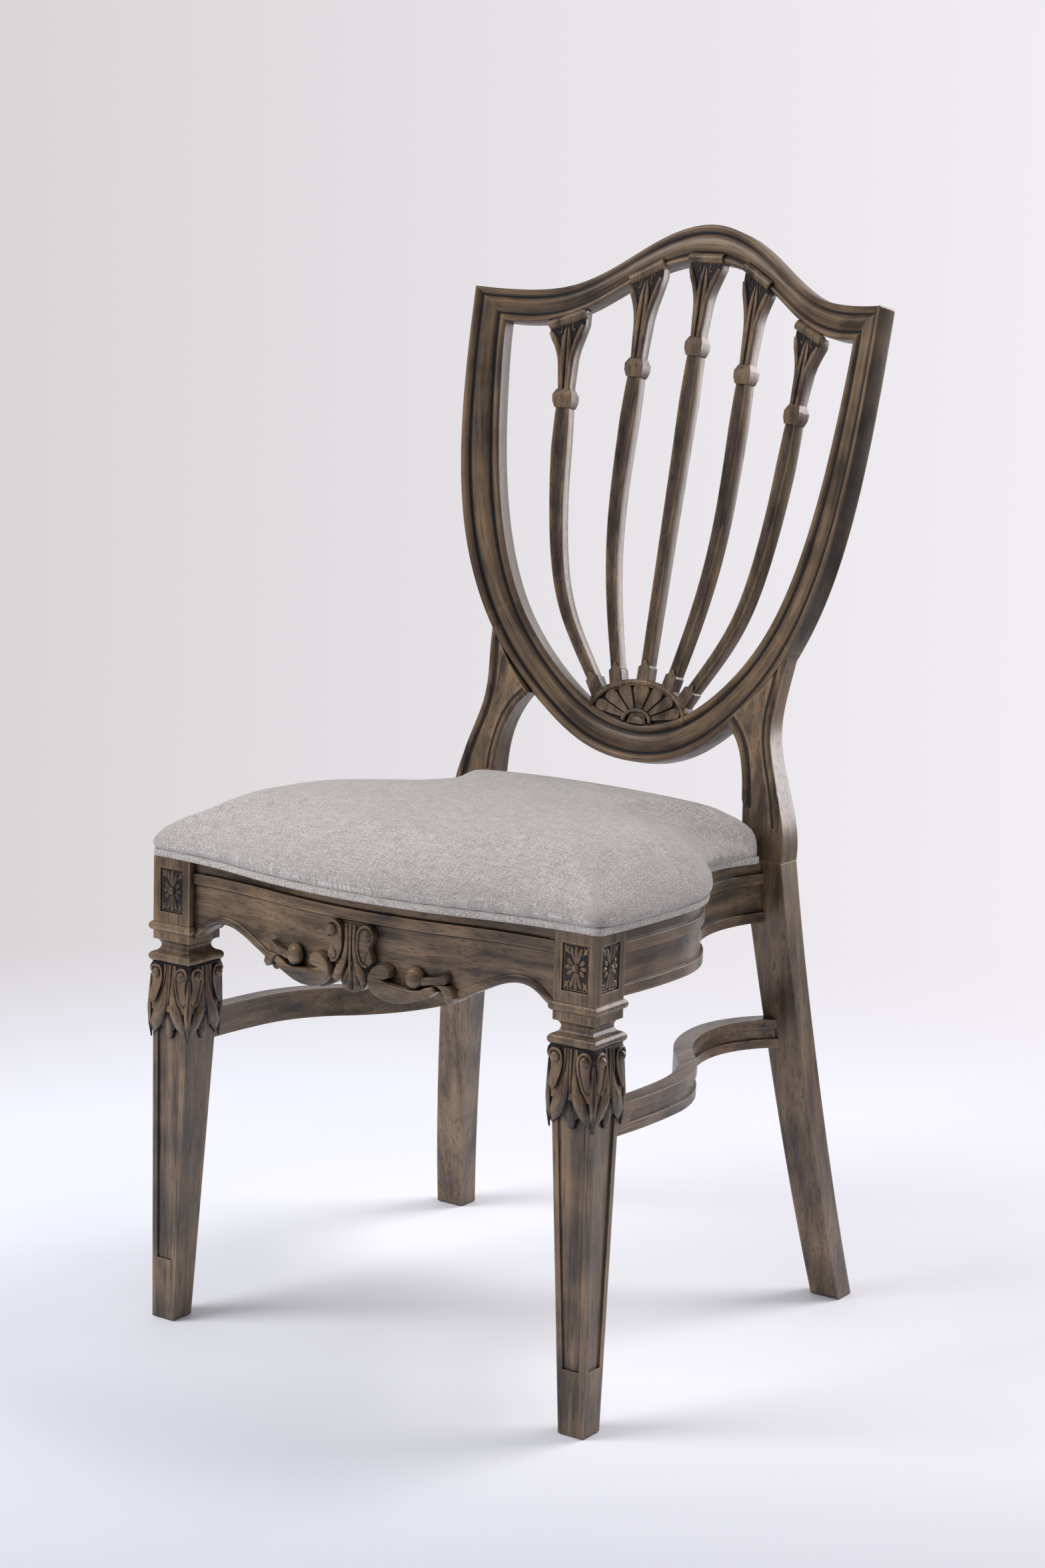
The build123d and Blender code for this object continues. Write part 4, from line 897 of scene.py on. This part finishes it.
def on_apron(x, z, proud):
    """A point of the apron's sunk face, which swells forward in the middle."""
    away = abs(x)
    if away <= SWELL_HALF:
        y = SWELL_FRONT + SWELL_RADIUS - sqrt(SWELL_RADIUS ** 2 - x ** 2)
    else:
        y = SWEEP_CENTRE[1] + sqrt(SWEEP_RADIUS ** 2 - (away - SWEEP_CENTRE[0]) ** 2)
    return (x, y + APRON_RELIEF - proud, z)


ARCH = [(194.5, 365.4), (186, 371.5), (175, 379.4), (164, 383.2), (152, 383.2), (139, 379.6), (120, 371),
        (100, 361.5)]
lips = swept("lips", both_ways([(ARCH, [6.0, 7.4, 7.6, 7.6, 7.6, 7.6, 7.6, 6.4], 0.2)]), LEAF)
VOLUTE = [(43.3, 370.5), (42.2, 377.3), (37.9, 380.0), (32.1, 380.3), (25.6, 376.4), (21.5, 370.6),
          (20.5, 364.1), (22.5, 358.0), (27.5, 353.6), (35.4, 350.2), (43.5, 349.1), (52.4, 349.2),
          (61.8, 351.0), (70.3, 354.1), (79.4, 357.8), (86.0, 363.5), (83.6, 368.3), (76.9, 366.2),
          (71.6, 363.4), (63.9, 362.3), (55.2, 362.7), (46.4, 363.6), (39.1, 365.3), (33.6, 367.6),
          (38.2, 368.0)]
TALL_SCROLL = [(24.6, 400.5), (24.0, 406.5), (20.0, 410.4), (14.5, 410.2), (10.0, 406.5), (8.6, 399.0),
               (8.2, 391.0), (10.6, 382.5), (14.8, 376.4), (19.6, 375.2), (24.4, 379.6), (22.4, 386.0),
               (20.2, 391.6), (22.4, 396.4)]
TONGUE = [(71.5, 373.4), (75.3, 374.6), (82.8, 375.3), (88.7, 377.1), (93.1, 379.8), (95.6, 377.3),
          (95.5, 372.4), (93.3, 370.0), (86.0, 368.7), (80.0, 368.3), (74.0, 366.7), (70.9, 367.0)]
HOOK = [(80.0, 367.8), (86.0, 368.0), (90.5, 365.5), (93.3, 360.3), (95.2, 356.6), (98.9, 355.7),
        (102.4, 359.4), (100.0, 366.7), (96.3, 369.7), (88.9, 369.5)]
TAIL = [(2.5, 377.0), (7.0, 368.0), (12.0, 359.5), (9.6, 353.0), (3.4, 350.2)]
# Each raised form with its height and the round of its edge, then each ball's place and size
APRON_FORMS = ((VOLUTE, 11.0, 1.5), (TALL_SCROLL, 8.6, 0.9), (TONGUE, 8.0, 1.2), (HOOK, 8.5, 1.4))
APRON_BALLS = (((19.0, 402.8, 9.4), (10.4, 10.4, 9)), ((64.3, 372.0, 4.6), (17.0, 20.0, 15)))

scroll_rim = TALL_SCROLL[13:] + TALL_SCROLL[:10]
ridges = both_ways([
    ([(a * 0.94 + 0.9, b * 0.97 + 11.8) for a, b in scroll_rim], 2.4, 9.2),
    ([(18.8, 388.0), (15.6, 383.0), (16.0, 379.0)], [1.6, 3.6, 2.4], 8.8),
    ([(4.4, 410), (4.2, 392), (6.6, 379), (11.6, 368.5), (15.6, 360.0)], [3.4, 4.2, 5.6, 8.6, 7.0], 7.0),
    ([(1.8, 375), (4.6, 366), (7.6, 357.5)], [1.4, 3.4, 4.8], 5.0),
]) + [
    ([(0, 410), (0, 394), (0, 380), (0, 366)], [3.0, 2.6, 2.6, 1.2], 7.4),
    ([(0, 373), (0, 363), (0, 353)], [1.4, 3.4, 5.0], 5.2),
]
# The ridges' lower sides are dark with glaze and painted shade
carving = [lips, glazed_and_shaded(swept("ridges", ridges, LEAF), 4.0, 8.0),
           raised(TAIL + mirrored_points(TAIL[::-1]), 5.0, 1.4)]
for hand in (1, -1):
    for outline, top, edge in APRON_FORMS:
        carving.append(raised([(hand * a, b) for a, b in outline[::hand]], top, edge))
    for (x, z, proud), size in APRON_BALLS:
        carving.append(ball((hand * x, z, proud), size))
# Dark cords along the string's edges: painted shade lines in its corners
string_shade_lines = [([(x, z) for x in range(-184, 185, 16)], 1.3, 0.2) for z in STRING_EDGES]
carving.append(glazed_and_shaded(swept("string_shade_lines", string_shade_lines, ROUND), 5.0, 6.0))
fitted(laid(joined("apron_carving", carving), on_apron), carved_across)

# Back posts: a bead and a groove along each front edge; the groove is dark with glaze and painted shade
POST_FRONT = [(130.0, 430.0), (134.5, 490.0), (144.5, 545.0), (170.0, 650.0)]
POST_FRONT_LINE = smooth_line(POST_FRONT, (-0.02, 1), (0.25, 1), 80)
POST_OUTER = [(182.0, 458.0), (175.5, 490.0), (160.5, 543.0), (160.8, 569.0), (163.5, 593.0), (164.6, 608.0)]
POST_INNER = [(140.6, 472.0), (134.0, 514.0), (124.0, 535.0), (113.0, 547.0)]
BEAD_IN = 3.0
BEAD_TAPER = [1.5, 4.0, 5.4] + [6.4] * 27
GROOVE_IN = 7.6
GROOVE_WIDTH = 6.0
GROOVE_LIFT = -1.5


def on_post(x, z, proud):
    """A point of the posts' curved front face."""
    return (x, float(np.interp(z, POST_FRONT_LINE[:, 1], POST_FRONT_LINE[:, 0])) - proud, z)


for hand, side in HANDS:
    outer_edge = smooth_line(POST_OUTER, (-0.15, 1), (0.1, 1), len(BEAD_TAPER))
    inner_edge = smooth_line(POST_INNER, (-0.08, 1), (-1, 1), len(BEAD_TAPER))
    bead_lines, groove_lines = [
        [moved_over(outer_edge, step) * (hand, 1), moved_over(inner_edge, -step) * (hand, 1)]
        for step in (BEAD_IN, GROOVE_IN)]
    beads = swept("beads", [(line, BEAD_TAPER, -0.3) for line in bead_lines], ROUND, smooth=False)
    grooves = swept("grooves", [(line, GROOVE_WIDTH, GROOVE_LIFT) for line in groove_lines], LEAF, smooth=False)
    beads = joined(f"post_beads_{side}", [beads, glazed_and_shaded(grooves, 0.36, -0.6)])
    fitted(laid(beads, on_post), carved_upright)

# Seat pad: the foam's form, swelled under its cover, with a piped welt round its lower edge
PAD_VOXEL = 0.005
PAD_PRESSURE = 4.0
PAD_FRAMES = 20
PAD_MOVE = 0.0035
PAD_CENTRE_Y = -0.085
PAD_SPREAD = 1.018
PAD_FOOT = 0.003
BULGE_HEIGHTS = [0.004, 0.009, 0.014, 0.020, 0.028, 0.036, 0.048, 0.060, 0.070]
BULGE = [-0.001, 0.002, 0.007, 0.0065, 0.002, -0.003, -0.005, -0.003, 0.0]
BULGE_FADE = ([0.06, 0.11], [1.0, 0.0])
# The back of the pad is crowned and its front corners thin out
CROWN = 0.0035
CROWN_HALF_WIDTH = 0.11
CROWN_FADE = ([0.0, 0.07], [0.0, 1.0])
FRONT_CORNER = Vector((0.236, -0.262))
CORNER_REACH = 0.10
CORNER_THINNING = 0.30
SEAT_SLOPE = radians(1.2)
SEAT_ORIGIN_Z = 0.42737
WELT_TOP = 0.0072
BOARD_TOP = 0.012
# Where the cloth turns down, on the pad and on the welt, and the round of the welt
PAD_EDGE = 0.045
WELT_EDGE = 0.012
WELT_ROUND = 0.0024


def height_on_seat(spot):
    """Height above the seat plane, which slopes down to the back."""
    return (spot.z - SEAT_ORIGIN_Z) * cos(SEAT_SLOPE) + spot.y * sin(SEAT_SLOPE)


def taken_from(node, name):
    """A merged copy of a solid's mesh, to work on."""
    piece = linked(name, nodes[node].data.copy())
    piece.data.materials.clear()
    return closed_up(piece, 0.02 * MM)


def unrolled(piece, edge_height):
    """A map of the cloth as if it were unrolled from the top of the pad down its sides."""
    piece.data.uv_layers.new(name="weave")
    for layer in [layer.name for layer in piece.data.uv_layers if layer.name != "weave"]:
        piece.data.uv_layers.remove(piece.data.uv_layers[layer])
    cloth = piece.data.uv_layers["weave"]
    spots = piece.data.vertices
    for corner in piece.data.loops:
        spot = spots[corner.vertex_index]
        fall = max(edge_height - height_on_seat(spot.co), 0.0)
        cloth.data[corner.index].uv = (spot.co.x + spot.normal.x * fall, spot.co.y + spot.normal.y * fall)


pad = taken_from("seat_foam", "seat_pad")
for spot in pad.data.vertices:
    spot.co.x *= PAD_SPREAD
    spot.co.y = PAD_CENTRE_Y + (spot.co.y - PAD_CENTRE_Y) * PAD_SPREAD
    if height_on_seat(spot.co) < BOARD_TOP + 0.001:
        spot.co.z -= BOARD_TOP - PAD_FOOT
applied(pad, "REMESH", mode="VOXEL", voxel_size=PAD_VOXEL)
still = pad.vertex_groups.new(name="under")
under = [spot.index for spot in pad.data.vertices if height_on_seat(spot.co) < WELT_TOP]
still.add(under, 1.0, "REPLACE")
before = [spot.co.copy() for spot in pad.data.vertices]
cloth = pad.modifiers.new("swell", "CLOTH")
cloth.settings.use_pressure = True
cloth.settings.uniform_pressure_force = PAD_PRESSURE
cloth.settings.vertex_group_mass = "under"
cloth.settings.effector_weights.gravity = 0
cloth.point_cache.frame_end = PAD_FRAMES
for step in range(1, PAD_FRAMES + 1):
    scene.frame_set(step)
only(pad)
bpy.ops.object.modifier_apply(modifier=cloth.name)
for spot, start in zip(pad.data.vertices, before):
    shift = spot.co - start
    if shift.length > PAD_MOVE:
        spot.co = start + shift * (PAD_MOVE / shift.length)
scene.frame_set(1)
for spot in pad.data.vertices:
    out = Vector((spot.normal.x, spot.normal.y, 0))
    push = float(np.interp(height_on_seat(spot.co), BULGE_HEIGHTS, BULGE))
    push *= float(np.interp(spot.co.y, *BULGE_FADE))
    spot.co += (out if push > 0 else spot.normal * out.length) * push
for spot in pad.data.vertices:
    crown = CROWN * (1 - (spot.co.x / CROWN_HALF_WIDTH) ** 2) * float(np.interp(spot.co.y, *CROWN_FADE))
    spot.co.z += crown * max(spot.normal.z, 0.0)
    near = max(1 - (Vector((abs(spot.co.x), spot.co.y)) - FRONT_CORNER).length / CORNER_REACH, 0.0)
    spot.co.z -= CORNER_THINNING * near * max(height_on_seat(spot.co) - WELT_TOP, 0.0)
applied(pad, "SMOOTH", factor=0.5, iterations=4)
applied(pad, "SUBSURF", levels=1, render_levels=1)
unrolled(pad, PAD_EDGE)
fitted(pad, weave, ["seat_cover", "seat_foam"], angle=80)

welt = taken_from("seat_welt", "seat_welt_piping")
edited(welt, lambda: bpy.ops.mesh.dissolve_limited(angle_limit=radians(1)))
applied(welt, "BEVEL", width=WELT_ROUND, segments=4, limit_method="ANGLE", angle_limit=radians(50))
unrolled(welt, WELT_EDGE)
fitted(welt, weave, ["seat_welt"], angle=60)

# Floor, light and camera. Directions as the camera has them: to its right, back to it and the way it looks
TO_RIGHT = (0.826, 0.564, 0)
TO_CAMERA = (0.564, -0.826, 0)
LOOKING = (-0.555, 0.812, -0.182)
FLOOR_SIZE = 60
# The floor's colour holds painted light: shade to the left and near the camera, light to the right and round
# the chair
FLOOR_SHADED_LEFT = (0.84, 0.835, 0.885)
FLOOR_LIT_RIGHT = (0.89, 0.865, 0.905)
FLOOR_LIT_MIDDLE = (0.97, 0.955, 0.985)
FLOOR_SHADED_NEAR = (0.57, 0.565, 0.61)
# The backdrop is painted darker to the left and lighter to the right: painted shade and light
BACKDROP_SHADED_LEFT = (0.70, 0.675, 0.690)
BACKDROP_LIT_RIGHT = (0.885, 0.860, 0.905)
ROOM_DARK = (0.07, 0.068, 0.075)
AMBIENT = (0.94, 0.95, 1.0)
AMBIENT_STRENGTH = 0.56
unselect()
bpy.ops.mesh.primitive_plane_add(size=FLOOR_SIZE, location=(0, 0, 0))
floor = bpy.context.object
floor.name = "floor"
floor_paint = Finish("pale_floor")
floor_spot = floor_paint.node("ShaderNodeTexCoord", output="Object")
floor_reach = floor_paint.node("ShaderNodeVectorMath", {"operation": "LENGTH"}, {0: floor_spot}, "Value")
floor_side = floor_paint.toward(floor_spot, TO_RIGHT)
floor_near = floor_paint.toward(floor_spot, TO_CAMERA)
# Painted light on the floor: lighter to the right and round the chair, darker near the camera
floor_painted_light = floor_paint.mix(floor_paint.ramp(floor_side, -0.4, 0.7), FLOOR_SHADED_LEFT, FLOOR_LIT_RIGHT)
floor_painted_light = floor_paint.mix(floor_paint.ramp(floor_reach, 0.5, 0.15), floor_painted_light, FLOOR_LIT_MIDDLE)
floor_painted_light = floor_paint.mix(floor_paint.ramp(floor_near, 0.2, 0.75), floor_painted_light, FLOOR_SHADED_NEAR)
floor_fade = floor_paint.ramp(floor_reach - floor_paint.ramp(floor_near, 0.0, 1.0) * 0.9, 1.5, 0.75)
floor_paint.set(Base_Color=floor_painted_light, Roughness=0.8, Alpha=floor_fade)
floor.data.materials.append(floor_paint.material)

studio = Finish("studio", bpy.data.worlds)
scene.world = studio.material
rays = studio.node("ShaderNodeLightPath")
camera_ray, glossy_ray, through_ray = [Shade(studio, rays.socket.node.outputs[f"Is {kind} Ray"])
                                       for kind in ("Camera", "Glossy", "Transmission")]
looked_at = camera_ray + glossy_ray + through_ray
outwards = studio.node("ShaderNodeTexCoord", output="Generated")
sideways = studio.toward(outwards, TO_RIGHT)
# Painted shade and light: darker to the left, lighter to the right
backdrop = studio.mix(studio.ramp(sideways, -0.16, 0.16), BACKDROP_SHADED_LEFT, BACKDROP_LIT_RIGHT)
facing = studio.toward(outwards, LOOKING)
room = studio.mix(studio.ramp(facing, 0.45, 0.9), ROOM_DARK, backdrop)
seen = studio.node("ShaderNodeBackground", {}, {"Color": studio.mix(camera_ray, room, backdrop)})
unseen = studio.node("ShaderNodeBackground", {}, {"Color": AMBIENT, "Strength": AMBIENT_STRENGTH})
either = studio.node("ShaderNodeMixShader", {}, {0: looked_at, 1: unseen, 2: seen})
studio.feed(studio.tree.nodes["World Output"].inputs["Surface"], either)


def softbox(name, place, target, size, power, colour=(1, 1, 1), diffuse=True, glossy=True):
    """A large soft lamp, which may light only the matt or only the glossy side of a finish."""
    lamp = bpy.data.lights.new(name, "AREA")
    lamp.shape = "RECTANGLE"
    lamp.size, lamp.size_y = size
    lamp.energy = power
    lamp.color = colour
    holder = linked(name, lamp)
    holder.location = place
    holder.rotation_euler = (Vector(target) - Vector(place)).to_track_quat("-Z", "Y").to_euler()
    holder.visible_diffuse = diffuse
    holder.visible_glossy = glossy


softbox("window_behind", (1.15, 1.8, 1.02), (0.2, 0.2, 0.85), (1.0, 1.15), 26, (1.0, 0.95, 0.98), diffuse=False)
softbox("window_upper", (0.55, 2.1, 1.75), (0.2, 0, 0.4), (0.9, 0.5), 14, (1.0, 0.96, 0.98), diffuse=False)
softbox("front_box", (-1.7, -2.5, 1.7), (0, 0, 0.5), (1.8, 1.8), 64, (0.96, 1.0, 1.07), glossy=False)
softbox("high_box", (0.9, 1.1, 2.7), (0.05, 0, 0.4), (1.0, 1.0), 36, glossy=False)
softbox("top_box", (-1.3, -1.6, 2.7), (0, 0, 0.5), (1.0, 1.0), 16)

scene.view_settings.view_transform = "Standard"
AZIMUTH = radians(34.3715)
ELEVATION = radians(10.4817)
ROLL = radians(1.7092)
CAMERA_PLACE = (1.5989, -2.3599, 1.0206)
SENSOR_HEIGHT = 36
LENS = 72.89
away = Vector((sin(AZIMUTH) * cos(ELEVATION), -cos(AZIMUTH) * cos(ELEVATION), sin(ELEVATION)))
level_right = Vector((cos(AZIMUTH), sin(AZIMUTH), 0))
level_up = away.cross(level_right)
camera_right = cos(ROLL) * level_right + sin(ROLL) * level_up
camera_up = cos(ROLL) * level_up - sin(ROLL) * level_right
camera_data = bpy.data.cameras.new("camera")
camera_data.sensor_fit = "VERTICAL"
camera_data.sensor_height = SENSOR_HEIGHT
camera_data.lens = LENS
camera = linked("camera", camera_data)
turn = Matrix((camera_right, camera_up, away)).transposed().to_4x4()
camera.matrix_world = Matrix.Translation(CAMERA_PLACE) @ turn
scene.camera = camera

for holder in (ROUND, LEAF, HOLLOW, PETAL, FRAME):
    bpy.data.objects.remove(holder)
